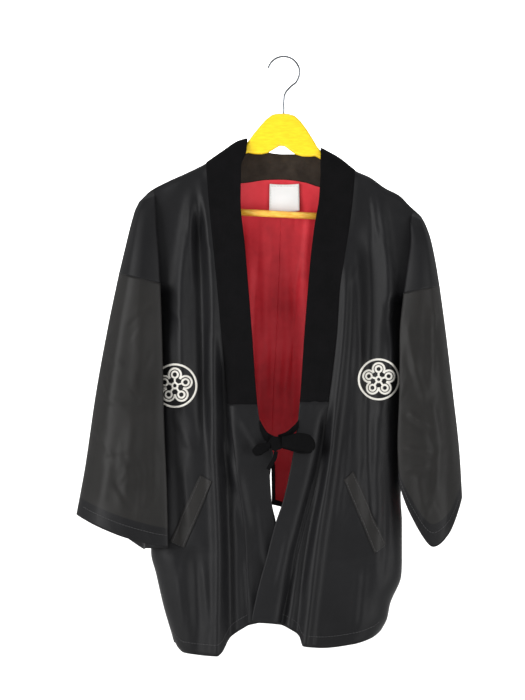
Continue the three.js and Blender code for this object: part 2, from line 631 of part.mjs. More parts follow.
// A front or back panel with its half of the dropped shoulder. Columns past 1 run on around the arm. The cloth is
// one piece, drawn in three lengths, because the collision of a shorter length follows the hollow more closely.
function addPanel(side, name, shape, bodyColumns, armColumns, rows, waist) {
  const armSpan = armColumns.at(-1) - shape.tuck;
  const columns = [...bodyColumns, ...armColumns.map((t) => 1 + (t - shape.tuck) / armSpan)];
  const below = (u, f) => panelPoint(side, Math.min(u, 1), f, shape);
  const armEnd = 1 - SEAM / 90;
  const above = (u, f) => {
    if (u <= 1) return below(u, f);
    return shoulderPoint(side, shape.tuck + (u - 1) * armSpan, Math.min(f, armEnd));
  };
  const armhole = PANEL_TOP_ROWS.length - 1;
  const body = bodyColumns.length - 1;
  const last = columns.length - 1;
  const onRidge = (i) => shape.tuck === FRONT_TUCK || i >= body || backOnRidge(side, columns[i]);
  const lengths = {
    shoulder: {
      at: above,
      columns,
      rows: [...rows.slice(0, armhole), armEnd],
      square: (i, j) => (j === 0 && onRidge(i)) || i === last,
    },
    waist: {
      at: below,
      columns: bodyColumns,
      rows: [1 + SEAM / 500, ...rows.slice(armhole + 1, waist), rows[waist] - SEAM / 1000],
      square: (i, j) => i === body && j > 0,
    },
    skirt: {
      at: below,
      columns: bodyColumns,
      rows: [rows[waist] + SEAM / 1000, ...rows.slice(waist + 1)],
      square: (i) => i === body,
    },
  };
  Object.entries(lengths).forEach(([length, { at, columns, rows, square }]) =>
    add(`${name}_${length}`, wall(at, columns, rows, SHELL, { square }), shellCloth),
  );
}
const backOnRidge = (side, s) => {
  const x = lerp(backEdge(side, side.level), side.ridgeIn, s);
  return x < -126 || x > 116;
};

function addSleeve(side) {
  const at = (t, g) => sleevePoint(side, (t + RING_POINTS) % RING_POINTS, g);
  add("sleeve_" + side.name, wall(at, SLEEVE_COLUMNS, SLEEVE_ROWS, SHELL, { loop: true }), shellCloth);
}

// The band along the front's free edge: s runs from the edge to the seam, and f as on the front.
function bandPoint(side, s, f) {
  const { edge, seam } = side.lines;
  const start = (z) => lerp(edge(z), seam(z) - side.sign * BAND_GAP, s);
  let z = lerp(ridge(start(-150)), side.level, Math.min(f, 1));
  for (let pass = 0; f > 1 && pass < 4; pass += 1) z = lerp(side.level, side.hem(start(z)), f - 1);
  const x = start(z);
  return point(x, Math.min(frontY(side, x, z), -SEAM / 2), z);
}
function addBands(side) {
  const columns = spread(4);
  const rows = frontRows(side);
  const end = rows.indexOf(VELVET_END[side.name]);
  const at = (s, f) => bandPoint(side, s, f);
  const lift = (side.sign * (BAND - SHELL)) / -2;
  const upper = rows.slice(0, end + 1);
  const lower = rows.slice(end);
  upper[end] -= SEAM / 500;
  lower[0] += SEAM / 500;
  const square = (i, j) => j === 0;
  add("collar_" + side.name, wall(at, columns, upper, BAND, { lift, square }), velvetCloth);
  add("band_" + side.name, wall(at, columns, lower, BAND, { lift }), shellCloth);
}

// The collar round the back of the neck, from ridge to ridge: v runs from its folded top to the seam.
function collarBackPoint(s, v) {
  const x = lerp(neck.topX(s), neck.seamX(s), v);
  const straight = lerp(neck.topZ(s), neck.seamZ(s), v);
  const overRidge = 1 - smooth(Math.min(s, 1 - s) / 0.06);
  const y = lerp(neck.topY(s), neck.seamY(s), v);
  return point(x, Math.max(y, SEAM / 2), lerp(straight, ridge(x), overRidge));
}
function addCollarBack() {
  const square = (i) => i === 0 || i === NECK_STATIONS.length - 1;
  add("collar_back", wall(collarBackPoint, NECK_STATIONS, spread(4), BAND, { square }), velvetCloth);
}

// The lining hangs just inside each half of the back, made from its points; it stops short of the vent, the
// ridge and the hem.
function addLining(side) {
  const shape = backPanel(side);
  const columns = backColumns(side);
  const rows = backRows(side);
  const back = facets((s, f) => panelPoint(side, s, f, shape), columns, rows);
  const width = (f) => Math.abs(back.at(1, f).x - back.at(0, f).x);
  const inset = (f) => (VENT_FACING * smooth((f - 1.48) / 0.04)) / width(f);
  const at = (s, f) => back.at(s + inset(f) * (1 - smooth(s / 0.2)), f);
  const inner = columns.slice(0, -1);
  const lower = [0.01, ...rows.filter((f) => f > 0.1 && f < 1.95), HEM_FACING];
  const keep = (i, j) => j > 0 || columns[i + 1] < backNeckShare(side);
  const free = (s, f) => Math.max(smooth((f - 1.4) / 0.05) * (1 - smooth(s / 0.3)), smooth((f - 1.8) / 0.1));
  const lift = (s, f) => -side.sign * (SHELL / 2 + LINING_CLEAR + LINING / 2 + EDGE_CLEAR * free(s, f));
  add("lining_" + side.name, wall(at, inner, lower, LINING, { lift, keep, normal: back.normal }), liningCloth);
}
const backNeckShare = (side) => {
  const start = backEdge(side, neckSeamZ(0));
  return (side.sign * 100 - start) / (side.ridgeIn - start);
};

function addLabel() {
  const at = (u, v) => {
    const x = lerp(LABEL_PLACE.left, LABEL_PLACE.right, u);
    const z = lerp(LABEL_PLACE.top, LABEL_PLACE.bottom, v);
    return point(x, backY(x, z), z);
  };
  const lift = -(SHELL / 2 + SEAM + LINING + LABEL_CLEAR + LABEL / 2);
  add("label", wall(at, spread(5), spread(4), LABEL, { lift }), tapeCloth);
}

// A slanted welt lies on the front, made from its points, between an outer and an inner line.
function addWelt(side) {
  const { outerTop, outerFoot, innerTop, innerFoot } = WELTS[side.name];
  const shape = frontPanel(side);
  const front = facets((s, f) => panelPoint(side, s, f, shape), FRONT_COLUMNS, frontRows(side));
  const place = (u, v) => {
    const x = lerp(lerp(innerTop.x, innerFoot.x, v), lerp(outerTop.x, outerFoot.x, v), u);
    const z = lerp(lerp(innerTop.z, innerFoot.z, v), lerp(outerTop.z, outerFoot.z, v), u);
    const start = shape.startX(z);
    return [(x - start) / (side.lines.side(z) - start), 1 + (z - side.level) / (side.hem(x) - side.level)];
  };
  const at = (u, v) => front.at(...place(u, v));
  const normal = (u, v) => front.normal(...place(u, v));
  const lift = side.sign * -(SHELL + WELT_CLEAR);
  add("welt_" + side.name, wall(at, spread(4), spread(12), SHELL, { lift, normal }), shellCloth);
}

// A piece of the velvet tie: a ribbon along a path, as wide as `width` across `over`.
function addRibbon(name, path, width, over) {
  const line = new THREE.CatmullRomCurve3(path.map((p) => point(p.x, p.y, p.z)));
  const at = (u, v) => line.getPoint(clamp(v, 0, 1)).addScaledVector(over, (u - 0.5) * width);
  add(name, wall(at, spread(2), spread(path.length * 3), RIBBON), velvetCloth);
}
function addTie() {
  const upright = point(0, 0, 1);
  const slanted = point(0.87, 0, -0.48);
  addRibbon("tie_strap_left", TIE_STRAP_LEFT, 11, upright);
  addRibbon("tie_strap_right", TIE_STRAP_RIGHT, 11, upright);
  addRibbon("tie_loop_left", TIE_LOOP_LEFT, 13, upright);
  addRibbon("tie_loop_right", TIE_LOOP_RIGHT, 19, upright);
  addRibbon("tie_tail", TIE_TAIL, 9, slanted);
  const knot = add("tie_knot", new THREE.SphereGeometry(1, 12, 8), velvetCloth);
  knot.scale.set(KNOT.width / 2, KNOT.depth / 2, KNOT.height / 2);
  knot.position.set(KNOT.x, KNOT.y, KNOT.z);
}

// The hanger's wood, flat at the head where the hook stands, with an end down each side for the bar.
function woodShape() {
  const right = WOOD_OUTLINE.map((p) => new THREE.Vector2(p.x, p.z));
  const left = right.map((p) => new THREE.Vector2(-p.x, p.y)).reverse();
  return new THREE.Shape([...right, ...left]);
}
function addHanger() {
  const wood = new THREE.Group();
  wood.position.z = HEAD_TOP;
  wood.rotation.y = WOOD_TILT;
  group.add(wood);
  const depth = WOOD_THICK - 2 * WOOD_BEVEL;
  const bevel = { bevelThickness: WOOD_BEVEL, bevelSize: WOOD_BEVEL, bevelOffset: -WOOD_BEVEL, bevelSegments: 2 };
  const body = new THREE.ExtrudeGeometry(woodShape(), { depth, ...bevel });
  body.translate(0, 0, -depth / 2).rotateX(Math.PI / 2).translate(0, 0, -HEAD_TOP);
  add("hanger_wood", body, yellowWood, wood);
  const bar = new THREE.CylinderGeometry(BAR_DIAMETER / 2, BAR_DIAMETER / 2, 2 * (BAR_HALF - SEAM), 16);
  bar.rotateZ(Math.PI / 2).translate(0, 0, BAR_Z - HEAD_TOP);
  add("hanger_bar", bar, barWood, wood);
}
function addHook() {
  const centre = WIRE / 2 - HOOK_RADIUS;
  const arc = spread(14, HOOK_TIP, HOOK_FOOT).map((degrees) => {
    const angle = THREE.MathUtils.degToRad(degrees);
    return point(HOOK_RADIUS * Math.cos(angle), 0, centre + HOOK_RADIUS * Math.sin(angle));
  });
  const stem = HOOK_STEM.map((p) => point(p.x, 0, p.z));
  const line = new THREE.CatmullRomCurve3([...arc, ...stem, point(0, 0, HEAD_TOP + SEAM)]);
  const section = new THREE.Shape().absarc(0, 0, WIRE / 2, 0, 2 * Math.PI);
  const hook = new THREE.ExtrudeGeometry(section, { steps: 36, curveSegments: 4, extrudePath: line });
  add("hanger_hook", hook, chromeWire);
}

[LEFT, RIGHT].forEach((side) => {
  const front = [FRONT_COLUMNS, SHOULDER_COLUMNS, frontRows(side), FRONT_WAIST];
  const back = [backColumns(side), BACK_SHOULDER_COLUMNS, backRows(side), BACK_WAIST];
  addPanel(side, "front_" + side.name, frontPanel(side), ...front);
  addPanel(side, "back_" + side.name, backPanel(side), ...back);
  addSleeve(side);
  addBands(side);
  addLining(side);
  addWelt(side);
});
addCollarBack();
addLabel();
addTie();
addHanger();
addHook();

export default group;
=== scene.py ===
# %% [markdown]
# # A hanten jacket on its hanger
# A hanten is a short, wide Japanese work jacket: straight panels of crisp cloth, wide sleeves, a red lining and a
# velvet band that runs round the neck and down both fronts. This lesson dresses the plain solids of one with the
# cloth, velvet, sewing, paint and wire of the real thing. The solids are loaded first and never moved.

# %% Load the frame
import math

import bmesh
import bpy
import numpy as np
from mathutils import Matrix, Vector
from mathutils.bvhtree import BVHTree


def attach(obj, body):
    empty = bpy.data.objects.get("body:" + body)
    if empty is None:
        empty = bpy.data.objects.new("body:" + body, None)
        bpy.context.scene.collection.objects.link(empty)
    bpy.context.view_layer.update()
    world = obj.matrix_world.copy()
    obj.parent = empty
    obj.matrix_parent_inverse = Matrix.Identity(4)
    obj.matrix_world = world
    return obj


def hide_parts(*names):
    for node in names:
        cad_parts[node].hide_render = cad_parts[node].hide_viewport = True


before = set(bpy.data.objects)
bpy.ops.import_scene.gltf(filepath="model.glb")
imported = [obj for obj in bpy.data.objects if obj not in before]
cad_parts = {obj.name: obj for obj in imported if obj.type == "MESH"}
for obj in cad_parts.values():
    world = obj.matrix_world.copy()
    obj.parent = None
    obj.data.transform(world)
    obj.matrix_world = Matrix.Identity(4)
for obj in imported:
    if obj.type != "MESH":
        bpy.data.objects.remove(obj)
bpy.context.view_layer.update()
MM = 0.001

# %% [markdown]
# ## The camera and the room
# The jacket hangs level before a pale card and is looked at straight on, from far off with a long lens, so that
# near and far parts keep their true sizes. The lights are large and soft, one to each side of the camera and one
# above, as in a plain studio. The camera comes first, because everything later is judged through it.

# %% Camera
PICTURE = (525, 700)
MM_PER_PIXEL = 1.6
EYE_X, EYE_Z = -34, -470
FRONT_Y = -40
EYE_DISTANCE = 9000
SENSOR = 24


def make_camera():
    data = bpy.data.cameras.new("camera")
    data.sensor_fit = "VERTICAL"
    data.sensor_height = SENSOR
    data.lens = SENSOR * EYE_DISTANCE / (PICTURE[1] * MM_PER_PIXEL)
    camera = bpy.data.objects.new("camera", data)
    camera.location = Vector((EYE_X, FRONT_Y - EYE_DISTANCE, EYE_Z)) * MM
    camera.rotation_euler = (math.radians(90), 0, 0)
    bpy.context.collection.objects.link(camera)
    bpy.context.scene.camera = camera
    return camera


camera = make_camera()
print("lens:", round(camera.data.lens, 1), "mm")

# %% [markdown]
# ## Curves and tables
# A jacket like this is cut from straight pieces, but it hangs in curves. Each curve is a short table with named
# columns, one row for each height or place, read with a smooth line that never swings past its rows. Working on
# whole arrays of points at once keeps a fine cloth grid quick.

# %% Helpers for curves
def table(columns, *rows):
    return {name: np.array(values, float) for name, values in zip(columns.split(), zip(*rows))}


def lerp(a, b, t):
    return a + (b - a) * t


def smooth(t):
    t = np.clip(t, 0, 1)
    return t * t * (3 - 2 * t)


def rounded(t):
    return np.sqrt(np.maximum(0, 1 - (1 - np.clip(t, 0, 1)) ** 2))


def spread(count, low=0.0, high=1.0):
    return np.linspace(low, high, count + 1)


def curve(rows, key, column):
    keys, values = rows[key], rows[column]
    way = 1 if keys[1] > keys[0] else -1
    steps, rises = np.diff(keys), np.diff(values)
    slopes = rises / steps
    product = slopes[:-1] * slopes[1:]
    total = np.where(product > 0, slopes[:-1] + slopes[1:], 1)
    inner = np.where(product > 0, 2 * product / total, 0)
    tangents = np.concatenate([slopes[:1], inner, slopes[-1:]])

    def read(at):
        at = np.asarray(at, float)
        i = np.clip(np.searchsorted(way * keys, way * at) - 1, 0, len(steps) - 1)
        t = np.clip((at - keys[i]) / steps[i], 0, 1)
        bend = steps[i] * t * (1 - t) * ((1 - t) * tangents[i] - t * tangents[i + 1])
        return values[i] + rises[i] * t * t * (3 - 2 * t) + bend

    return read


def curves(rows, key):
    return {column: curve(rows, key, column) for column in rows}


# %% [markdown]
# ## The jacket's own lines, in millimetres
# These are the lines that the solids were built from: the ridge where the cloth turns over the hanger, the edges
# and seams of each half, the hems, the back of the neck and the open vent. The fine cloth follows the same lines,
# so it lies on its solids everywhere.

# %% Ridge, edges and hems
RIDGE = table(
    "x z",
    (-240, -246), (-216, -216), (-187, -200), (-154, -185), (-126, -171), (-98, -152), (-70, -134), (-50, -130),
    (50, -141), (59, -146), (88, -162), (115, -182), (139, -193), (163, -210), (186, -222), (202, -238),
    (222, -257), (236, -276),
)
LEFT_LINES = table(
    "z edge seam side side_y",
    (-134, -58, -126, -212, -3), (-152, -60, -126, -212, -3), (-174, -68, -125, -212, -3),
    (-230, -69, -121, -212, -3), (-302, -62, -114, -212, -3), (-363, -57, -108, -212, -3),
    (-438, -51, -101, -207, 0), (-558, -42, -90, -204, 3), (-606, -33, -83.6, -205, 4), (-634, -17, -79.8, -206, 5),
    (-645, -16, -78.4, -206, 5), (-659, -22.3, -76.6, -207, 5), (-690, -21, -72.2, -209, 5),
    (-716, -18.8, -68.3, -210, 5), (-724, -17.4, -67.5, -210, 5), (-746, -12.6, -65, -211, 5),
    (-795, -12, -61, -213, 5), (-829, -11, -60, -205, 5), (-885, -10, -58, -192, 5), (-922, -10, -57, -181, 5),
    (-945, -10, -56, -174, 5), (-965, -10, -56, -165, 5),
)
RIGHT_LINES = table(
    "z edge seam side side_y",
    (-134, 59, 116, 203, -3), (-180, 59, 115, 203, -3), (-222, 57, 112, 203, -3), (-272, 49, 106, 203, -3),
    (-322, 43, 98, 203, -3), (-379, 38, 90, 203, -3), (-442, 33, 86, 196, 0), (-558, 25, 72, 192, 3),
    (-634, 15, 62, 190, 5), (-707, 0, 47, 188, 5), (-746, -13, 36, 190, 5), (-811, -30, 20, 190, 5),
    (-832, -36, 14, 189, 5), (-878, -47, 2, 171, 5), (-902, -51, -3, 166, 5), (-925, -52, -6, 154, 5),
    (-960, -52, -8, 140, 5),
)
LEFT_HEM = table(
    "x z",
    (-181, -922), (-174, -943), (-160, -955), (-107, -960), (-99, -954), (-86, -931), (-67, -917), (-48, -908),
    (-8, -905),
)
RIGHT_HEM = table(
    "x z",
    (-51, -906), (-30, -907), (-6, -910), (15, -920), (24, -927), (31, -944), (61, -947), (111, -941),
    (142, -931), (157, -920),
)
BACK_HEM = table(
    "x z",
    (-176, -940), (-150, -947), (-107, -943), (-86, -924), (-60, -906), (34, -925), (60, -936), (110, -934),
    (142, -924), (157, -914),
)
NECK = table(
    "s top_x top_z top_y seam_x seam_z seam_y",
    (0, -58, -133, 0, -125.5, -171, 0), (0.03, -59, -134, 7, -124, -171.5, 7),
    (0.06, -58, -138, 11.5, -118, -176, 11.5), (0.12, -50, -143, 13.5, -106, -191, 13.5),
    (0.25, -36, -149, 17, -70, -203, 18), (0.4, -14, -153.5, 20.5, -26, -197.5, 24),
    (0.5, -2, -154.5, 21, -2, -197, 25), (0.62, 20, -154.5, 20, 32, -201, 23),
    (0.78, 42, -153.5, 16.5, 66, -210, 18), (0.9, 56, -152, 13, 98, -202, 13.5),
    (0.95, 61.5, -149.5, 11.5, 109, -190, 11.5), (0.98, 61, -147, 7, 114, -183.5, 7),
    (1, 60, -146.5, 0, 115.5, -182.5, 0),
)
CENTRE_BACK = table("z x", (-197, -2), (-400, -10), (-662, -20.5), (-935, -20.5))
VENT = table(
    "z left right",
    (-640, 0, 0), (-662, 0, 0.5), (-690, 5, 1), (-721, 11, 1.5), (-722.4, 14, 18), (-742, 20, 28), (-800, 30, 42),
    (-935, 40, 54),
)
VENT_CORNER = np.array([-721, -722.4])
ridge = curve(RIDGE, "x", "z")
neck = curves(NECK, "s")
neck_seam_z = curve(NECK, "seam_x", "seam_z")
neck_seam_y = curve(NECK, "seam_x", "seam_y")
centre_back = curve(CENTRE_BACK, "z", "x")
vent = curves(VENT, "z")
back_hem = curve(BACK_HEM, "x", "z")

# %% [markdown]
# ## Folds and creases
# Taffeta is stiff for its weight, so it breaks into a few long folds that run down from the shoulder and the
# bust, and then into short pressed creases from having been folded away. The long folds are the solids' own. The
# creases are added here as soft lines, each with a trough on one side, uneven in length, depth and spacing. They
# could be painted as bump, but a crease a hand's breadth long changes the outline and catches the light, so it is
# better as shape.

# %% The long folds
FOLD_HEIGHTS = np.array([-200.0, -400.0, -600.0, -800.0, -950.0])
LEFT_FOLDS = (
    (-131, -113, -112, -105, -107, -175, -1200, 9, 9), (-138, -133, -129, -124, -126, -215, -640, 9, -9),
    (-143, -165, -160, -150, -145, -190, -600, 11, 8), (-105, -99, -93, -86, -84, -440, -1200, 9, -11),
    (-165, -175, -172, -165, -150, -500, -820, 16, -9), (-150, -150, -150, -142, -138, -760, -1200, 10, -5),
)
RIGHT_FOLDS = (
    (104, 99, 79, 52, 34, -290, -1200, 9, 10), (84, 80, 63, 17, -10, -540, -1200, 8, -12),
    (95, 90, 74, 33, 16, -590, -1200, 7, -6), (152, 171, 168, 160, 150, -195, -560, 10, 7),
    (100, 118, 116, 110, 100, -260, -560, 9, 6), (130, 141, 134, 140, 130, -250, -780, 12, -9),
    (160, 155, 158, 165, 150, -620, -860, 10, -6),
)
BACK_FOLDS = (
    (-60, -72, -76, -84, -84, -230, -1200, 14, 8), (-110, -112, -116, -112, -108, -260, -1200, 13, -8),
    (-150, -158, -156, -150, -140, -240, -1200, 13, 7), (-25, -34, -46, -66, -76, -420, -1200, 12, -6),
    (40, 38, 30, 52, 62, -300, -1200, 13, -8), (78, 80, 76, 84, 90, -230, -1200, 14, 9),
    (125, 122, 118, 124, 120, -260, -1200, 13, -7), (150, 158, 154, 158, 146, -270, -900, 12, 6),
)
FOLD_COLUMNS = "x200 x400 x600 x800 x950 start end width out"
FOLD_FADE = 70


def folds_at(folds, x, z):
    total = np.zeros_like(x)
    for row in folds:
        start, end, width, out = row[5:]
        line = curve({"z": FOLD_HEIGHTS, "x": np.array(row[:5], float)}, "z", "x")
        near = np.exp(-(((x - line(z)) / width) ** 2))
        total += out * near * smooth((start - z) / FOLD_FADE) * smooth((z - end) / FOLD_FADE)
    return total


def creases_at(creases, x, z):
    total = np.zeros_like(x)
    for x1, z1, x2, z2, width, out in creases:
        run = math.hypot(x2 - x1, z2 - z1)
        along = ((x - x1) * (x2 - x1) + (z - z1) * (z2 - z1)) / run**2
        aside = ((x - x1) * (z2 - z1) - (z - z1) * (x2 - x1)) / run
        fade = smooth(along / 0.3) * smooth((1 - along) / 0.3)
        ridge_line = np.exp(-((aside / width) ** 2))
        trough = np.exp(-(((aside - 1.8 * width) / (1.3 * width)) ** 2))
        total += out * fade * (ridge_line - 0.5 * trough)
    return total


# %% [markdown]
# ## How the body and the sleeves hang
# The body is a flattened tube that turns over the hanger's arms. Each sleeve is a wide tube too, drawn as rings
# round eight places: its outer fold, its front, the inner end that doubles back beside the body, and its back.

# %% Depths and rings
RIDGE_RADIUS = 11
FRONT_FALL, BACK_FALL, FALL_LENGTH = 30, 33, 320
SIDE_RADIUS = 45
COLLAR_SWELL = 3
LAP_DEPTH = 10
BACK_TUCK_Y = 12.5
NECK_BLEND = 40
SEAM = 0.3
RING_POINTS, FRONT_TUCK, BACK_TUCK = 8, 5, 6
SHOULDER_ROUND, SHOULDER_SLOPE = 0.2, 0.7
LEFT_SHOULDER = table(
    "f x_out z_out x_in y_in lap lap_y front back",
    (0.12, -236, -236, -206, -17, 6, -12, 20, 17), (0.35, -245, -268, -205, -25, 9, -13, 31, 25),
    (0.65, -255, -309, -201, -32, 12, -17, 41, 31), (1, -264, -347, -198, -37, 14, -20, 47, 35),
)
RIGHT_SHOULDER = table(
    "f x_out z_out x_in y_in lap lap_y front back",
    (0.12, 228, -268, 203, -17, 6, -12, 20, 17), (0.35, 236, -292, 204, -25, 9, -13, 31, 25),
    (0.65, 244, -330, 199, -32, 11, -17, 41, 31), (1, 250, -367, 192, -37, 12, -20, 47, 35),
)
LEFT_SLEEVE = table(
    "g x_out z_out x_in z_in y_in lap lap_y front back sag",
    (0, -264, -347, -198, -363, -37, 17, -20, 47, 35, 0), (0.2, -280, -424, -195, -448, -43, 22, -24, 53, 37, 0),
    (0.5, -301, -540, -192, -575, -49, 27, -28, 59, 41, 0), (0.8, -318, -657, -187, -701, -53, 33, -32, 63, 47, 4),
    (1, -332, -734, -185, -786, -55, 35, -34, 65, 51, 8),
)
RIGHT_SLEEVE = table(
    "g x_out z_out x_in z_in y_in lap lap_y front back sag",
    (0, 250, -367, 192, -379, -37, 15, -20, 47, 35, 0), (0.2, 259, -434, 186, -441, -43, 16, -24, 53, 37, 4),
    (0.5, 271, -536, 185, -532, -47, 19, -26, 57, 39, 18), (0.8, 282, -637, 182, -620, -50, 20, -27, 60, 42, 56),
    (1, 286, -704, 184, -679, -48, 20, -26, 60, 44, 92),
)


class Side:
    def __init__(self, name, sign, lines, hem, folds, level, shoulder, sleeve, ridge_in, ridge_out):
        self.name, self.sign, self.level = name, sign, level
        self.ridge_in, self.ridge_out = ridge_in, ridge_out
        self.lines, self.hem, self.folds = curves(lines, "z"), curve(hem, "x", "z"), folds
        self.shoulder, self.sleeve = curves(shoulder, "f"), curves(sleeve, "g")


LEFT = Side("left", -1, LEFT_LINES, LEFT_HEM, LEFT_FOLDS, -363, LEFT_SHOULDER, LEFT_SLEEVE, -207, -222)
RIGHT = Side("right", 1, RIGHT_LINES, RIGHT_HEM, RIGHT_FOLDS, -379, RIGHT_SHOULDER, RIGHT_SLEEVE, 207, 221)


def body_depth(drop, fall):
    return RIDGE_RADIUS * rounded(drop / RIDGE_RADIUS) + fall * smooth(drop / FALL_LENGTH)


def front_y(side, x, z):
    drop = ridge(x) - z
    lap = LAP_DEPTH * smooth((-630 - z) / 90) * smooth((x + 95) / 45) if side.sign < 0 else 0
    collar = COLLAR_SWELL * smooth((side.sign * (side.lines["seam"](z) - x) + 8) / 16) * smooth(drop / 20)
    return lap - collar - body_depth(drop, FRONT_FALL) - folds_at(side.folds, x, z) * smooth(drop / 30)


def back_y(x, z):
    drop = ridge(x) - z
    hung = body_depth(drop, BACK_FALL) + folds_at(BACK_FOLDS, x, z) * smooth(drop / 60)
    in_neck = smooth((x + 128) / 6) * smooth((118 - x) / 6)
    at_neck = lerp(neck_seam_y(x), hung, smooth((neck_seam_z(x) - z) / NECK_BLEND))
    return lerp(hung, at_neck, in_neck)


def ring_point(side, t, row):
    def across(share, y, hang):
        x = lerp(row["x_out"], row["x_in"], share)
        z = lerp(row["z_out"], row["z_in"], share) - hang * row["sag"]
        return np.stack(np.broadcast_arrays(x, y, z), -1)

    lap_x = side.sign * row["lap"]
    tuck = np.stack(np.broadcast_arrays(row["x_in"] + lap_x, row["lap_y"], row["z_in"] - 0.2 * row["sag"]), -1)
    back_x = row["x_in"] + lap_x * 1.15 + side.sign * 3
    back_tuck = np.stack(np.broadcast_arrays(back_x, BACK_TUCK_Y, row["z_in"] - 0.3 * row["sag"]), -1)
    controls = np.stack([
        across(0, -3.0, 0), across(0.2, -0.8 * row["front"], 0.68), across(0.5, -row["front"], 1),
        across(0.84, (row["y_in"] - row["front"]) / 2 - 2, 0.5), across(1, row["y_in"], 0),
        tuck, back_tuck, across(0.4, row["back"], 0.85),
    ])
    t = np.mod(np.broadcast_to(t, controls.shape[1:-1]), RING_POINTS)
    i = np.floor(t).astype(int)
    part = (t - i)[..., None]
    places = np.indices(t.shape)
    p, q, r, s = (controls[((i + k) % RING_POINTS, *places)] for k in (-1, 0, 1, 2))
    turn, onward = (r - p) * 0.45, (s - q) * 0.45
    return lerp(q, r, smooth(part)) + part * (1 - part) * ((1 - part) * turn - part * onward)


def shoulder_point(side, t, f):
    row = {name: read(np.maximum(f, 0.12)) for name, read in side.shoulder.items()}
    row["z_in"] = lerp(ridge(side.ridge_in), side.level, np.maximum(f, 0.12))
    row["sag"] = 0
    ring = ring_point(side, t, row)
    in_front = t <= FRONT_TUCK
    along = np.where(in_front, t / FRONT_TUCK, (RING_POINTS - t) / (RING_POINTS - BACK_TUCK))
    x = lerp(side.ridge_out, side.ridge_in, along)
    top = np.stack(np.broadcast_arrays(x, np.where(in_front, -SEAM, SEAM), ridge(x)), -1)
    return lerp(top, ring, (np.clip(f / SHOULDER_ROUND, 0, 1) ** SHOULDER_SLOPE)[..., None])


def sleeve_point(side, t, g):
    return ring_point(side, t, {name: read(g) for name, read in side.sleeve.items()})


print("ridge over the left arm at", float(ridge(-200)), "mm")

# %% [markdown]
# ## Creases of this jacket
# Each row is one crease: where it starts and ends on the cloth, how wide it is and how far it stands out. The
# level ones were pressed in when the jacket lay folded. Below them comes a scatter of small ones, drawn with a
# fixed seed, because taffeta that has been worn is never quite smooth.

# %% The creases
LEFT_CREASES = [
    (-214, -789, -104, -786, 3, 1.4), (-192, -388, -164, -420, 5, 1.8), (-186, -404, -158, -428, 5, 1.2),
    (-72, -574, -33, -634, 6, 2.4), (-80, -646, -52, -776, 7, 2.4), (-98, -600, -72, -704, 5, 1.6),
    (-150, -236, -147, -388, 4, 1.2), (-120, -420, -122, -566, 4, 1.4), (-162, -640, -150, -768, 6, 1.6),
    (-130, -800, -118, -936, 6, 2.0), (-172, -822, -160, -934, 5, 1.6), (-62, -790, -50, -904, 5, 1.8),
    (-196, -470, -188, -600, 6, 1.6), (-182, -560, -140, -640, 6, 1.2), (-40, -700, -26, -830, 5, 1.5),
]
RIGHT_CREASES = [
    (51, -815, 181, -795, 3, 1.4), (86, -548, 64, -720, 5, 1.6), (122, -420, 126, -566, 4, 1.4),
    (104, -600, 86, -764, 6, 1.6), (150, -560, 145, -706, 7, 1.6), (62, -700, 30, -884, 6, 2.0),
    (132, -800, 120, -936, 6, 1.8), (172, -690, 164, -866, 5, 1.5), (22, -560, 4, -654, 6, 2.0),
    (10, -756, -12, -862, 5, 1.8), (141, -214, 152, -310, 4, 1.4), (176, -420, 168, -540, 6, 1.5),
    (60, -470, 44, -590, 5, 1.2), (178, -500, 150, -590, 6, 1.3),
]
BACK_CREASES = [
    (-190, -702, -50, -716, 3, 1.3), (40, -566, 190, -550, 3, 1.2), (-40, -300, -52, -470, 5, 1.5),
    (-130, -330, -134, -520, 6, 1.7), (20, -330, 12, -540, 6, 1.6), (110, -300, 104, -480, 5, 1.5),
    (-170, -520, -160, -690, 6, 1.6), (60, -620, 66, -800, 6, 1.9), (-100, -740, -96, -900, 6, 1.8),
    (140, -640, 134, -820, 6, 1.7), (-60, -520, -66, -660, 5, 1.4), (100, -820, 96, -920, 5, 1.6),
]
LEFT_SLEEVE_CREASES = [
    (-222, -392, -236, -560, 12, 1.8), (-236, -560, -258, -744, 12, 2.0), (-252, -372, -288, -610, 12, 1.6),
    (-204, -500, -210, -740, 9, 1.6), (-308, -536, -244, -566, 5, 0.9), (-296, -470, -250, -500, 5, 0.8),
    (-300, -640, -232, -628, 3, 0.8), (-276, -640, -292, -724, 9, 1.4), (-226, -620, -230, -770, 8, 1.4),
]
RIGHT_SLEEVE_CREASES = [
    (238, -384, 234, -556, 7, 2.6), (234, -540, 250, -626, 7, 2.2), (250, -606, 241, -712, 7, 2.2),
    (186, -626, 244, -634, 4, 1.8), (190, -662, 238, -654, 4, 1.5), (192, -566, 240, -598, 5, 2.2),
    (206, -470, 228, -566, 7, 1.8), (262, -520, 270, -690, 8, 1.8), (212, -660, 226, -742, 7, 1.8),
    (252, -420, 258, -560, 8, 1.5), (196, -420, 212, -520, 6, 1.2),
]
CRUMPLE_SEED = 11


def crumple(seed, count, left, right, bottom, top):
    rng = np.random.default_rng(CRUMPLE_SEED + seed)
    x, z = rng.uniform(left, right, count), rng.uniform(bottom, top, count)
    lean, length = rng.normal(0, 0.5, count), rng.uniform(24, 90, count)
    width, out = rng.uniform(2.5, 6, count), rng.uniform(0.15, 0.75, count) * rng.choice([-1, 1], count)
    return list(zip(x, z, x + length * np.sin(lean), z - length * np.cos(lean), width, out))


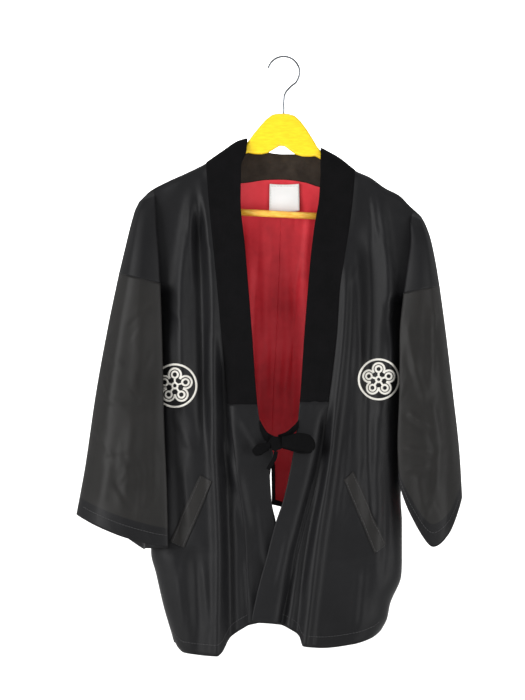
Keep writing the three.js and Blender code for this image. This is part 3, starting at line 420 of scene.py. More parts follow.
LEFT_CREASES += crumple(1, 46, -205, -15, -930, -200)
RIGHT_CREASES += crumple(2, 46, -40, 190, -930, -200)
BACK_CREASES += crumple(3, 80, -205, 190, -920, -210)
LEFT_SLEEVE_CREASES += crumple(4, 26, -310, -200, -770, -380)
RIGHT_SLEEVE_CREASES += crumple(5, 26, 190, 275, -730, -400)
LEFT.creases, RIGHT.creases = LEFT_CREASES, RIGHT_CREASES
LEFT.sleeve_creases, RIGHT.sleeve_creases = LEFT_SLEEVE_CREASES, RIGHT_SLEEVE_CREASES
VELVET_END_Z = {"left": -557, "right": -553}


def creased_front_y(side, x, z):
    drop = ridge(x) - z
    on_velvet = smooth((side.sign * (side.lines["seam"](z) - x)) / 4) * (z > VELVET_END_Z[side.name])
    calm = smooth(drop / 40) * (1 - 0.75 * on_velvet)
    return front_y(side, x, z) - calm * creases_at(side.creases, x, z)


def creased_back_y(x, z):
    below_neck = np.minimum(ridge(x), np.where((x > -126) & (x < 116), neck_seam_z(x), ridge(x))) - z
    return back_y(x, z) + smooth(below_neck / 30) * creases_at(BACK_CREASES, x, z)


print("creases:", sum(len(rows) for rows in (LEFT_CREASES, RIGHT_CREASES, BACK_CREASES)))

# %% [markdown]
# ## Panels as surfaces
# A panel is one surface with two measures. One runs across, from the band's seam or the centre back to the side
# and then on round the arm. The other runs down: 0 is the ridge, 1 the level of the armhole and 2 the hem. The
# same two measures serve for the fronts and the backs.

# %% Panel surfaces
CORNER_CLEAR = 2
SEAM_ALLOWANCE = 3
SEAM_TUCK = 1.2
VENT_TOP = -640
VENT_FADE = 22


class Shape:
    def __init__(self, start_x, top_level, top_z, hem_z, depth, tuck, half_gap):
        self.start_x, self.top_level, self.top_z, self.hem_z = start_x, top_level, top_z, hem_z
        self.depth, self.tuck, self.half_gap = depth, tuck, half_gap


def front_shape(side):
    return Shape(
        start_x=lambda z: side.lines["seam"](z) - side.sign * SEAM_ALLOWANCE,
        top_level=ridge(side.lines["seam"](-150)),
        top_z=ridge, hem_z=side.hem,
        depth=lambda x, z: creased_front_y(side, x, z),
        tuck=FRONT_TUCK, half_gap=-SEAM / 2,
    )


def back_edge(side, z):
    under = SEAM_ALLOWANCE * (1 - smooth((VENT_TOP - z) / VENT_FADE)) if side.sign < 0 else 0
    return centre_back(z) + side.sign * (SEAM / 2 + vent[side.name](z) - under)


def back_depth(side, x, z):
    under = SEAM_TUCK * smooth((x - centre_back(z)) / 1.5) if side.sign < 0 else 0
    return creased_back_y(x, z) + under


def back_top(x):
    middle = smooth(np.minimum(x + 126, 116 - x) / 16)
    return np.where((x > -126) & (x < 116), neck_seam_z(x) - CORNER_CLEAR + (CORNER_CLEAR + 3) * middle, ridge(x))


def back_shape(side):
    return Shape(
        start_x=lambda z: back_edge(side, z), top_level=neck_seam_z(0), top_z=back_top, hem_z=back_hem,
        depth=lambda x, z: back_depth(side, x, z), tuck=BACK_TUCK, half_gap=SEAM / 2,
    )


def panel_point(side, s, f, shape):
    end = shoulder_point(side, np.full_like(f, shape.tuck), np.clip(f, 0, 1))
    top_x = lerp(shape.start_x(shape.top_level), side.ridge_in, s)
    upper = lerp(shape.top_z(top_x), side.level, np.minimum(f, 1))
    lower = upper
    for _ in range(4):
        guess = lerp(shape.start_x(lower), side.lines["side"](lower), s)
        lower = np.where(f > 1, lerp(side.level, shape.hem_z(guess), f - 1), upper)
    at_arm = lerp(ridge(side.ridge_in), side.level, np.minimum(f, 1))
    z = np.where(f > 1, lower, upper + (end[..., 2] - at_arm) * smooth((s - 0.8) / 0.2))
    closing = smooth((f - 1) / 0.03)
    side_x = lerp(end[..., 0], side.lines["side"](z), closing)
    side_y = lerp(end[..., 1], side.lines["side_y"](z) + shape.half_gap, closing)
    x = lerp(shape.start_x(z), side_x, s)
    away = np.abs(x - side_x) / SIDE_RADIUS
    turn = lerp(smooth(away), rounded(away), smooth((f - 1) / 0.2))
    y = lerp(side_y, shape.depth(x, z), turn)
    if shape.half_gap < 0:
        y = np.minimum(y, np.maximum(side_y, shape.half_gap))
    else:
        y = np.maximum(y, shape.half_gap)
    return np.stack([x, y, z], -1)


# %% [markdown]
# ## From a surface to cloth
# Cloth starts as a flat grid from Blender's own grid operator. Its points are then moved onto the surface, which
# keeps the faces in neat rows along the grain, and its UV map is laid out in real metres, so that a weave follows
# the cloth. Thickness comes last, from a Solidify modifier, with the lining's colour on the inside.

# %% Grids, pieces and sheets
NORMAL_STEP = 1e-3
pieces = {}


def surface_normals(at, u, v):
    across = at(u + NORMAL_STEP, v) - at(u - NORMAL_STEP, v)
    down = at(u, v + NORMAL_STEP) - at(u, v - NORMAL_STEP)
    normals = np.cross(across, down)
    return normals / np.maximum(np.linalg.norm(normals, axis=-1, keepdims=True), 1e-9)


def run_along(points, axis):
    steps = np.linalg.norm(np.diff(points, axis=axis), axis=-1)
    start = np.zeros_like(np.take(steps, [0], axis=axis))
    return np.cumsum(np.concatenate([start, steps], axis=axis), axis=axis) * MM


FACING = 2


def cloth_grid(points, flip=False, keep=None, loop=False, facing_from=None, facing_to=0):
    rows, columns = points.shape[:2]
    mesh = bmesh.new()
    bmesh.ops.create_grid(mesh, x_segments=columns - 1, y_segments=rows - 1, size=0.5)
    mesh.verts.ensure_lookup_table()
    cells = {
        vert: (round((vert.co.y + 0.5) * (rows - 1)), round((vert.co.x + 0.5) * (columns - 1)))
        for vert in mesh.verts
    }
    across, down = run_along(points, 1), run_along(points, 0)
    uv = mesh.loops.layers.uv.new("cut")
    for face in mesh.faces:
        for corner in face.loops:
            corner[uv].uv = (across[cells[corner.vert]], down[cells[corner.vert]])
        row = min(cells[vert][0] for vert in face.verts)
        if row < facing_to or (facing_from is not None and row >= facing_from):
            face.material_index = FACING
    if keep is not None:
        gone = [f for f in mesh.faces if not keep(*np.mean([cells[v] for v in f.verts], axis=0))]
        bmesh.ops.delete(mesh, geom=gone, context="FACES")
    for vert in mesh.verts:
        vert.co = points[cells[vert]] * MM
    if loop:
        bmesh.ops.remove_doubles(mesh, verts=mesh.verts, dist=1e-6)
    if flip:
        bmesh.ops.reverse_faces(mesh, faces=mesh.faces)
    return mesh


def refine(coarse, parts):
    fine = [lerp(a, b, k / parts) for a, b in zip(coarse[:-1], coarse[1:]) for k in range(parts)]
    return np.array([*fine, coarse[-1]])


def make_piece(name, mesh, materials, nodes, smooth_faces=True):
    data = bpy.data.meshes.new(name)
    mesh.to_mesh(data)
    mesh.free()
    data.polygons.foreach_set("use_smooth", [smooth_faces] * len(data.polygons))
    for finish in materials:
        data.materials.append(finish)
    piece = bpy.data.objects.new(name + "_sewn" if name in nodes else name, data)
    bpy.context.collection.objects.link(piece)
    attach(piece, "root")
    if nodes:
        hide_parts(*nodes)
    pieces[name] = piece
    return piece


def thicken(piece, thickness, inside=0, rim=0, offset=0.0):
    wall = piece.modifiers.new("wall", "SOLIDIFY")
    wall.thickness = thickness * MM
    wall.offset = offset
    wall.material_offset = inside
    wall.material_offset_rim = rim


def area_of(piece):
    return sum(polygon.area for polygon in piece.data.polygons)


# %% [markdown]
# ## Colours and nodes
# Colours are written as the sRGB hex values that the eye would match, and one function turns them to the linear
# values that shaders use. One more adds a node with its settings and links.

# %% Node helpers
def linear(code):
    channels = [int(code[i:i + 2], 16) / 255 for i in (1, 3, 5)]
    return (*[c / 12.92 if c <= 0.04045 else ((c + 0.055) / 1.055) ** 2.4 for c in channels], 1)


def add_node(tree, kind, inputs=(), **settings):
    node = tree.nodes.new(kind)
    for name, value in settings.items():
        setattr(node, name, value)
    for socket, value in dict(inputs).items():
        if isinstance(value, bpy.types.NodeSocket):
            tree.links.new(value, node.inputs[socket])
        else:
            node.inputs[socket].default_value = value
    return node


def new_material(name):
    finish = bpy.data.materials.new(name)
    finish.use_nodes = True
    tree = finish.node_tree
    return finish, tree, tree.nodes["Principled BSDF"]


def colour_ramp(tree, factor, *stops):
    node = add_node(tree, "ShaderNodeValToRGB", {"Fac": factor})
    elements = node.color_ramp.elements
    for i, (place, code) in enumerate(stops):
        element = elements[i] if i < 2 else elements.new(place)
        element.position, element.color = place, linear(code)
    return node.outputs["Color"]


def set_inputs(tree, shader, **values):
    for name, value in values.items():
        socket = shader.inputs[name.replace("_", " ")]
        if isinstance(value, bpy.types.NodeSocket):
            tree.links.new(value, socket)
        else:
            socket.default_value = value


# %% [markdown]
# ## Taffeta, velvet and lining
# The shell is polyester taffeta: a tight plain weave of smooth yarn, which gives a crisp hand and a soft, broad
# sheen. Its threads are about a quarter of a millimetre apart, too fine to show, so the weave is drawn four times
# as coarse. The band is cotton velvet, whose upright pile swallows light face on and glows at its edges: sheen
# does that. The lining is a thinner, softer weave in red.

# %% Cloth materials
WEAVE_MM = 1.0
LINING_WEAVE_MM = 0.9
NAP_MM = 1.6


def weave_height(tree, spacing):
    place = add_node(tree, "ShaderNodeUVMap", uv_map="cut").outputs["UV"]
    scale = 2 * math.pi / (20 * spacing * MM)
    waves = [
        add_node(tree, "ShaderNodeTexWave", {
            "Vector": place, "Scale": scale, "Distortion": 0.6, "Detail": 1.0, "Detail Scale": 0.5,
        }, bands_direction=way).outputs["Fac"]
        for way in ("X", "Y")
    ]
    return add_node(tree, "ShaderNodeMath", {0: waves[0], 1: waves[1]}, operation="MULTIPLY").outputs[0]


def woven(name, dark, middle, light, spacing, roughness, gloss, sheen, bump):
    finish, tree, shader = new_material(name)
    place = add_node(tree, "ShaderNodeTexCoord").outputs["Object"]
    broad = add_node(tree, "ShaderNodeTexNoise", {"Vector": place, "Scale": 9, "Detail": 4, "Roughness": 0.6})
    tone = colour_ramp(tree, broad.outputs["Fac"], (0.3, dark), (0.75, light), (0.5, middle))
    slub = add_node(tree, "ShaderNodeTexNoise", {"Vector": place, "Scale": 500, "Detail": 2})
    rough = add_node(tree, "ShaderNodeMapRange", {
        "Value": slub.outputs["Fac"], "To Min": roughness - 0.06, "To Max": roughness + 0.08,
    })
    height = weave_height(tree, spacing)
    relief = add_node(tree, "ShaderNodeBump", {"Height": height, "Strength": bump, "Distance": 0.2 * MM})
    set_inputs(
        tree, shader, Base_Color=tone, Roughness=rough.outputs["Result"], Normal=relief.outputs["Normal"],
        Sheen_Weight=sheen, Sheen_Roughness=0.4, Specular_IOR_Level=gloss,
    )
    return finish


def velvet(name, dark, light, sheen, tint):
    finish, tree, shader = new_material(name)
    place = add_node(tree, "ShaderNodeTexCoord").outputs["Object"]
    brushed = add_node(tree, "ShaderNodeTexNoise", {"Vector": place, "Scale": 40, "Detail": 6, "Roughness": 0.65})
    tone = colour_ramp(tree, brushed.outputs["Fac"], (0.35, dark), (0.7, light))
    pile = add_node(tree, "ShaderNodeTexNoise", {"Vector": place, "Scale": 1 / (NAP_MM * MM), "Detail": 3})
    relief = add_node(tree, "ShaderNodeBump", {
        "Height": pile.outputs["Fac"], "Strength": 0.35, "Distance": 0.5 * MM,
    })
    set_inputs(
        tree, shader, Base_Color=tone, Roughness=0.95, Normal=relief.outputs["Normal"], Sheen_Weight=sheen,
        Sheen_Roughness=0.3, Sheen_Tint=linear(tint), Specular_IOR_Level=0.15,
    )
    return finish


charcoal_taffeta = woven("charcoal taffeta", "#0c0c0e", "#111113", "#161618", WEAVE_MM, 0.48, 0.2, 0.02, 0.3)
# painted light: a lighter copy of the charcoal taffeta, for the sleeves and welts where light falls on them
painted_light_taffeta = woven("charcoal taffeta, in the light", "#161514", "#1b1a19", "#211f1e", WEAVE_MM, 0.5, 0.24, 0.03, 0.3)
red_lining = woven("red lining", "#ba232e", "#da303c", "#ea434e", LINING_WEAVE_MM, 0.55, 0.3, 0.12, 0.3)
# a darker copy of the black velvet, used for the bow
bow_velvet = velvet("black velvet, new", "#010102", "#040405", 0.03, "#4c4a52")
black_velvet = velvet("black velvet", "#040405", "#09080a", 0.08, "#4c4a52")
# painted light: a browner, paler velvet for the side of the neck band that faces the front and the light
neck_velvet_painted_light = velvet("neck velvet", "#2c2622", "#3c352f", 0.25, "#6a6058")
white_tape = woven("white woven tape", "#e2e1e0", "#ececec", "#f4f4f4", 0.8, 0.6, 0.3, 0.1, 0.3)
print("materials:", [finish.name for finish in bpy.data.materials])

# %% [markdown]
# ## Fronts and backs
# Each front and each back is one piece of cloth with its half of the dropped shoulder. In a shop the shoulder is
# folded, not sewn, over the hanger's arm. The fronts show their red lining inside, while the backs get theirs as
# pieces of their own, because there it hangs free and shows.

# %% Panels
SHELL_THICK = 0.9
RING_GAP = 0.015
PANEL_TOP_ROWS = [0, 0.01, 0.028, 0.06, 0.12, 0.24, 0.38, 0.52, 0.68, 0.84, 1]
ROW_STEPS = 6
ARM_STEPS = 36
FRONT_STEPS, BACK_STEPS = 70, 96
LOWER_ROWS = 100
FACING_ROWS = 5
RIDGE_ROWS = 26


def vent_rows(side, up=0):
    return 1 + (VENT_CORNER + up - side.level) / (back_hem(-10) - side.level)


def panel_rows(side):
    lower = np.sort(np.concatenate([spread(LOWER_ROWS, 1, 2)[1:], vent_rows(side)]))
    return np.concatenate([refine(PANEL_TOP_ROWS, ROW_STEPS), lower])


def panel_surface(side, shape):
    end = RING_GAP if shape.tuck == FRONT_TUCK else RING_POINTS - RING_GAP

    def at(u, f):
        body = panel_point(side, np.minimum(u, 1), f, shape)
        t = shape.tuck + (u - 1) * (end - shape.tuck)
        arm = shoulder_point(side, np.where(u > 1, t, shape.tuck), np.clip(f, 0, 1))
        return np.where((u > 1)[..., None], arm, body)

    return at


def make_panel(side, name, shape, steps, inside):
    columns = np.concatenate([spread(steps), spread(ARM_STEPS, 1, 2)[1:]])
    rows = panel_rows(side)
    armhole = ROW_STEPS * (len(PANEL_TOP_ROWS) - 1)
    at = panel_surface(side, shape)
    points = at(*np.meshgrid(columns, rows))
    front = shape.tuck == FRONT_TUCK
    mesh = cloth_grid(
        points, flip=(side.sign > 0) == front, keep=lambda row, column: column < steps or row < armhole,
        facing_from=len(rows) - 1 - FACING_ROWS, facing_to=RIDGE_ROWS,
    )
    finishes = [charcoal_taffeta, inside, charcoal_taffeta, charcoal_taffeta]
    lengths = [name + "_" + length for length in ("shoulder", "waist", "skirt")]
    piece = make_piece(name, mesh, finishes, lengths)
    thicken(piece, SHELL_THICK, inside=1)
    return piece


for side in (LEFT, RIGHT):
    make_panel(side, "front_" + side.name, front_shape(side), FRONT_STEPS, red_lining)
    make_panel(side, "back_" + side.name, back_shape(side), BACK_STEPS, charcoal_taffeta)
print({name: round(area_of(piece), 3) for name, piece in pieces.items()}, "square metres")

# %% [markdown]
# ## Sleeves
# A hanten's sleeve is a straight tube as wide at the cuff as at the armhole. The grid goes once round it and is
# closed where its first and last columns meet. The creases stand out along the cloth's own normal, because a tube
# faces every way, and they fade at the armhole so that the seam stays shut.

# %% Sleeves
SLEEVE_AROUND, SLEEVE_DOWN = 150, 110
CUFF_ROWS = 8


def sleeve_points(side):
    t, g = np.meshgrid(spread(SLEEVE_AROUND, 0, RING_POINTS), spread(SLEEVE_DOWN))

    def at(u, v):
        return sleeve_point(side, u, v)

    points = at(t, g)
    outward = side.sign * surface_normals(at, t, g)
    x, y, z = np.moveaxis(points, -1, 0)
    lift = creases_at(side.sleeve_creases, x, z) * smooth(g / 0.05) * smooth((np.abs(outward[..., 1]) - 0.2) / 0.5)
    return points + outward * lift[..., None]


def make_sleeve(side):
    name = "sleeve_" + side.name
    facing_from = SLEEVE_DOWN - CUFF_ROWS
    mesh = cloth_grid(sleeve_points(side), flip=side.sign < 0, loop=True, facing_from=facing_from)
    # the sleeve's outside takes the taffeta painted lighter for the light on it
    finishes = [painted_light_taffeta, red_lining, charcoal_taffeta, charcoal_taffeta]
    piece = make_piece(name, mesh, finishes, [name])
    thicken(piece, SHELL_THICK, inside=1)
    return piece


for side in (LEFT, RIGHT):
    make_sleeve(side)
print("sleeve cloth:", [round(area_of(pieces["sleeve_" + side.name]), 3) for side in (LEFT, RIGHT)])

# %% [markdown]
# ## The velvet band and its taffeta end
# The band is a long strip, folded in half round the edge of the front: the fold is its free edge, and both raw
# edges are caught in the seam. So each length of it is a flat tube, round at the fold and thin at the seam. It
# could be a slab with bevelled edges, but cloth folded over has one soft edge and one sharp one, and a tube drawn
# round its section shows that.

# %% Bands
BAND_HALF = 1.35
BAND_CENTRE = 0.7
BAND_GAP = 0.6
FOLD_REACH, SEAM_REACH = 0.05, 0.08
BAND_END = {"left": 1.352, "right": 1.322}
LEVEL_REACH = 0.16
BAND_STEPS = 22


def band_section():
    run = 0.5 - 0.5 * np.cos(math.pi * spread(BAND_STEPS))
    face = np.concatenate([np.ones(BAND_STEPS + 1), -np.ones(BAND_STEPS)])
    return np.concatenate([run[::-1], run[1:]]), face


def band_puff(share):
    return rounded(share / FOLD_REACH) * rounded((1 - share) / SEAM_REACH)


def band_middle(side, s, f):
    edge, seam = side.lines["edge"], side.lines["seam"]

    def start(z):
        return lerp(edge(z), seam(z) - side.sign * BAND_GAP, s)

    end, end_z = BAND_END[side.name], VELVET_END_Z[side.name]
    level_end = 1 + (end_z - side.level) / (side.hem(start(end_z)) - side.level)
    f = f + (level_end - end) * (1 - smooth(np.abs(f - end) / LEVEL_REACH))

    upper = lerp(ridge(start(-150)), side.level, np.minimum(f, 1))
    z = upper
    for _ in range(4):
        z = np.where(f > 1, lerp(side.level, side.hem(start(z)), f - 1), upper)
    x = start(z)
    return np.stack([x, np.minimum(creased_front_y(side, x, z), -SEAM / 2), z], -1)


def band_points(side, rows):
    s, face = band_section()
    share, f = np.meshgrid(s, rows)
    puff = band_puff(share)
    middle = band_middle(side, share, f)
    normal = surface_normals(lambda u, v: band_middle(side, u, v), share, f) * side.sign * -1
    on_ridge = (f < 1e-6)[..., None]
    normal = np.where(on_ridge, normal * [1, 0, 1], normal)
    normal /= np.maximum(np.linalg.norm(normal, axis=-1, keepdims=True), 1e-9)
    return middle + normal * (BAND_CENTRE + BAND_HALF * face * puff)[..., None]


def close_ends(mesh):
    edges = [edge for edge in mesh.edges if edge.is_boundary]
    bmesh.ops.holes_fill(mesh, edges=edges, sides=0)
    bmesh.ops.recalc_face_normals(mesh, faces=mesh.faces)


def make_band(name, points, finish, outside=None):
    mesh = cloth_grid(points, loop=True)
    close_ends(mesh)
    for face in mesh.faces:
        face.material_index = int(outside is not None and face.normal.y > 0)
    finishes = [finish, outside] if outside else [finish]
    return make_piece(name, mesh, finishes, [name])


def band_rows(side):
    top = refine(PANEL_TOP_ROWS, ROW_STEPS)
    end = BAND_END[side.name]
    return np.concatenate([top, spread(34, 1, end)[1:]]), spread(70, end, 2)


for side in (LEFT, RIGHT):
    upper, lower = band_rows(side)
    make_band("collar_" + side.name, band_points(side, upper), black_velvet)
    make_band("band_" + side.name, band_points(side, lower), charcoal_taffeta)
print("band pieces:", [name for name in pieces if name.startswith(("collar", "band"))])

# %% [markdown]
# ## The band round the back of the neck
# Behind the neck the band stands up and rolls over at its top. It is made as the fronts' band is, folded at the
# top edge. Its face towards the front is painted browner and paler than the fronts, as painted light on its pile; the
# face turned to the back is plain black velvet.

# %% Back of the collar
COLLAR_STEPS = 90


def collar_middle(s, v):
    x = lerp(neck["top_x"](s), neck["seam_x"](s), v)
    straight = lerp(neck["top_z"](s), neck["seam_z"](s), v)
    over = 1 - smooth(np.minimum(s, 1 - s) / 0.06)
    y = lerp(neck["top_y"](s), neck["seam_y"](s), v)
    return np.stack([x, np.maximum(y, SEAM / 2), lerp(straight, ridge(x), over)], -1)


def collar_points():
    s, face = band_section()
    share, along = np.meshgrid(s, spread(COLLAR_STEPS))
    puff = band_puff(share)
    normal = -surface_normals(collar_middle, along, share)
    normal = np.where((np.minimum(along, 1 - along) < 1e-6)[..., None], normal * [1, 0, 1], normal)
    normal /= np.maximum(np.linalg.norm(normal, axis=-1, keepdims=True), 1e-9)
    return collar_middle(along, share) + normal * (BAND_HALF * face * puff)[..., None]


# faces turned to the front get the velvet painted paler for its light, faces turned to the back plain black velvet
make_band("collar_back", collar_points(), neck_velvet_painted_light, outside=black_velvet)
print("neck band reaches", round(max(v.co.z for v in pieces["collar_back"].data.vertices) / MM), "mm")

# %% [markdown]
# ## The back lining and its label
# The lining is cut as the back is, but hangs free inside it, so it falls in soft folds of its own. It stops short
# of the hem and the vent, where the shell turns in as a black facing. The woven label at the neck is plain.

# %% Lining
LINING_LIFT = 2.4
LINING_FOLDS = [
    (-60, -210, -54, -560, 9, 3.0), (-34, -215, -24, -640, 8, 2.4), (6, -250, 2, -700, 9, 2.2),
    (44, -220, 26, -420, 8, 3.0), (24, -400, -4, -560, 9, 3.4), (64, -230, 60, -520, 8, 2.0),
    (-100, -240, -104, -700, 10, 2.6), (-150, -280, -150, -800, 10, 2.4), (110, -260, 104, -760, 10, 2.6),
    (-14, -520, -22, -690, 5, 1.6), (90, -500, 84, -860, 9, 2.0), (-70, -600, -74, -880, 9, 2.2),
]
LINING_END = 1.95
VENT_FACING = 6


def make_lining(side):
    shape = back_shape(side)
    shape.start_x = lambda z: back_edge(side, z - VENT_FACING)

    def at(s, f):
        return panel_point(side, s, f, shape)

    lower = np.sort(np.concatenate([spread(96, 1, LINING_END)[1:], vent_rows(side, up=VENT_FACING)]))
    rows = np.concatenate([refine(PANEL_TOP_ROWS[1:], ROW_STEPS), lower])
    s, f = np.meshgrid(spread(80, 0, 0.96), rows)
    width = np.abs(at(np.ones_like(f), f) - at(np.zeros_like(f), f))[..., 0]
    inset = VENT_FACING * smooth((f - 1.48) / 0.04) / width
    s = s + inset * (1 - smooth(s / 0.2))
    points = at(s, f)
    inward = -side.sign * surface_normals(at, s, f)
    at_vent = (s < 0.3) & (inward[..., 1] > -0.8)
    inward = np.where(at_vent[..., None], [0.0, -1.0, 0.0], inward)
    x, y, z = np.moveaxis(points, -1, 0)
    free = smooth((f - 0.1) / 0.2) * smooth((0.96 - s) / 0.1) * smooth(s / 0.04)
    swell = np.maximum(creases_at(LINING_FOLDS, x, z), 0) * free
    mesh = cloth_grid(points + inward * (LINING_LIFT + swell)[..., None], flip=side.sign < 0)
    name = "lining_" + side.name
    piece = make_piece(name, mesh, [red_lining], [name])
    thicken(piece, 0.6)
    return piece


for side in (LEFT, RIGHT):
    make_lining(side)

# %% Label
LABEL = {"left": -22.5, "right": 25, "top": -202.5, "bottom": -246}
LABEL_LIFT = 5.6


def make_label():
    share, down = np.meshgrid(spread(24), spread(20))
    x = lerp(LABEL["left"], LABEL["right"], share) + 1.5 * down * (share - 0.5)
    z = lerp(LABEL["top"], LABEL["bottom"], down) - 1.2 * np.sin(math.pi * share)
    curl = 1.6 * down**2 + 0.5 * np.sin(5 * share + 1) * down
    mesh = cloth_grid(np.stack([x, back_y(x, z) - LABEL_LIFT - curl, z], -1))
    piece = make_piece("label", mesh, [white_tape], ["label"])
    thicken(piece, 0.5)
    return piece


make_label()
print("lining and label made")

# %% [markdown]
# ## The hanger
# The hanger is turned and sawn beech: the head and arms are one board, painted glossy yellow, and a round bar
# sits between the ends of its arms. The board is drawn as half its outline, mirrored, extruded and bevelled all
# round, as a router would round it. The hook is bent wire, which a curve with a round section gives directly.

# %% Hanger materials
def painted_wood(name, dark, light):
    finish, tree, shader = new_material(name)
    place = add_node(tree, "ShaderNodeTexCoord").outputs["Object"]
    long = add_node(tree, "ShaderNodeMapping", {"Vector": place, "Scale": (12, 60, 60)})
    brush = add_node(tree, "ShaderNodeTexNoise", {"Vector": long.outputs["Vector"], "Scale": 6, "Detail": 5})
    relief = add_node(tree, "ShaderNodeBump", {
        "Height": brush.outputs["Fac"], "Strength": 0.15, "Distance": 0.3 * MM,
    })
    set_inputs(
        tree, shader, Base_Color=colour_ramp(tree, brush.outputs["Fac"], (0.35, dark), (0.65, light)),
        Roughness=0.32, Coat_Weight=0.5, Coat_Roughness=0.15, Normal=relief.outputs["Normal"],
    )
    return finish


def bright_wire():
    finish, tree, shader = new_material("bright nickelled wire")
    place = add_node(tree, "ShaderNodeTexCoord").outputs["Object"]
    drawn = add_node(tree, "ShaderNodeTexNoise", {"Vector": place, "Scale": 300, "Detail": 2})
    rough = add_node(tree, "ShaderNodeMapRange", {"Value": drawn.outputs["Fac"], "To Min": 0.1, "To Max": 0.24})
    set_inputs(tree, shader, Base_Color=linear("#7d8085"), Metallic=1.0, Roughness=rough.outputs["Result"])
    return finish


yellow_paint = painted_wood("glossy yellow paint on beech", "#f4cc00", "#fedc14")
amber_varnish = painted_wood("amber varnished beech", "#ee9f2c", "#ffd052")
nickel_wire = bright_wire()

# %% Hanger board and bar
WOOD_THICK, WOOD_BEVEL = 16, 4
WOOD_TILT = math.radians(2.9)
HEAD_TOP = -90
BAR_Z, BAR_DIAMETER, BAR_HALF = -252, 11, 198
ARM_END = 221
WOOD_OUTLINE = [
    (8, -90), (18, -92.5), (28, -101), (38, -113), (48, -127), (57, -141), (66, -150), (92, -163.5), (120, -186),
    (148, -202.5), (181, -219.5), (205, -236), (215, -246), (ARM_END - 1, -256), (ARM_END - 2, -264),
    (ARM_END - 9, -269), (BAR_HALF + 4, -268), (BAR_HALF, -262), (BAR_HALF, -243), (180, -233), (150, -217),
    (115, -197), (84, -174), (66, -162), (54, -156), (44, -157.5), (33, -157.5), (22, -154.5), (12, -148),
    (4, -142.5),
]


def tilt_hanger(mesh):
    turn = Matrix.Rotation(WOOD_TILT, 4, "Y")
    stand = Matrix.Translation((0, 0, HEAD_TOP * MM))
    bmesh.ops.transform(mesh, matrix=stand @ turn @ stand.inverted(), verts=mesh.verts)


def make_board():
    mesh = bmesh.new()
    outline = WOOD_OUTLINE + [(-x, z) for x, z in reversed(WOOD_OUTLINE)]
    ring = [mesh.verts.new((x * MM, -WOOD_THICK / 2 * MM, z * MM)) for x, z in outline]
    board = mesh.faces.new(ring)
    made = bmesh.ops.extrude_face_region(mesh, geom=[board])["geom"]
    moved = [item for item in made if isinstance(item, bmesh.types.BMVert)]
    bmesh.ops.translate(mesh, vec=(0, WOOD_THICK * MM, 0), verts=moved)
    bmesh.ops.recalc_face_normals(mesh, faces=mesh.faces)
    rims = [e for e in mesh.edges if abs(e.verts[0].co.y - e.verts[1].co.y) < 1e-6]
    bmesh.ops.bevel(
        mesh, geom=rims, offset=WOOD_BEVEL * MM, segments=5, profile=0.5, affect="EDGES", material=-1,
        clamp_overlap=True,
    )
    tilt_hanger(mesh)
    return make_piece("hanger_board", mesh, [yellow_paint], ["hanger_wood"])


def make_bar():
    mesh = bmesh.new()
    along = Matrix.Translation((0, 0, BAR_Z * MM)) @ Matrix.Rotation(math.radians(90), 4, "Y")
    bmesh.ops.create_cone(
        mesh, cap_ends=True, segments=48, radius1=BAR_DIAMETER / 2 * MM, radius2=BAR_DIAMETER / 2 * MM,
        depth=2 * (BAR_HALF - SEAM) * MM, matrix=along,
    )
    tilt_hanger(mesh)
    return make_piece("hanger_rod", mesh, [amber_varnish], ["hanger_bar"])


# %% Hook
WIRE = 3.5
HOOK_RADIUS = 25.5
HOOK_TIP, HOOK_FOOT = 165, -38
HOOK_STEM = [(10, -48), (2.5, -58), (0, -70), (0, -82), (0, HEAD_TOP + SEAM)]
HOOK_STEPS = 28


def make_hook():
    centre = WIRE / 2 - HOOK_RADIUS
    arc = [
        (HOOK_RADIUS * math.cos(turn), centre + HOOK_RADIUS * math.sin(turn))
        for turn in np.radians(spread(HOOK_STEPS, HOOK_TIP, HOOK_FOOT))
    ]
    path = arc + HOOK_STEM
    line = bpy.data.curves.new("hook", "CURVE")
    line.dimensions, line.bevel_depth, line.bevel_resolution = "3D", WIRE / 2 * MM, 6
    line.resolution_u, line.use_fill_caps = 6, True
    spline = line.splines.new("BEZIER")
    spline.bezier_points.add(len(path) - 1)
    for spot, (x, z) in zip(spline.bezier_points, path):
        spot.co = (x * MM, 0, z * MM)
        spot.handle_left_type = spot.handle_right_type = "AUTO"
    wire = bpy.data.objects.new("wire", line)
    mesh = bmesh.new()
    bpy.context.collection.objects.link(wire)
    mesh.from_mesh(wire.evaluated_get(bpy.context.evaluated_depsgraph_get()).to_mesh())
    bpy.data.objects.remove(wire)
    bmesh.ops.remove_doubles(mesh, verts=mesh.verts, dist=1e-6)
    bmesh.ops.recalc_face_normals(mesh, faces=mesh.faces)
    return make_piece("hook", mesh, [nickel_wire], ["hanger_hook"])


make_board()
make_bar()
make_hook()
print("hanger made")

# %% [markdown]
# ## What is sewn on: welts, bow and badges
# Sewn pieces lie on cloth that is already in place, so a ray is sent to the finished front to find where they
# touch it.

# %% Finding the cloth
def cloth_tree(name):
    mesh = bmesh.new()
    mesh.from_mesh(pieces[name].data)
    tree = BVHTree.FromBMesh(mesh)
    mesh.free()
    return tree


SEWN_ON = ["front_left", "front_right", "back_left", "back_right", "sleeve_left", "sleeve_right", "label"]
trees = {name: cloth_tree(name) for name in SEWN_ON}
RAY_START = 0.3


def on_cloth(name, x, z, lift, way=1):
    spot, normal, _, _ = trees[name].ray_cast(Vector((x * MM, -way * RAY_START, z * MM)), Vector((0, way, 0)))
    if spot is None:
        return None
    if normal.y * way > 0:
        normal = -normal
    return (spot + normal * lift * MM) / MM


# %% Pocket welts
WELTS = {
    "left": ((-134, -670), (-182, -777), (-114, -680), (-159, -787)),
    "right": ((111, -664), (163, -781), (96, -678), (145, -795)),
}
WELT_LIFT = 1.6


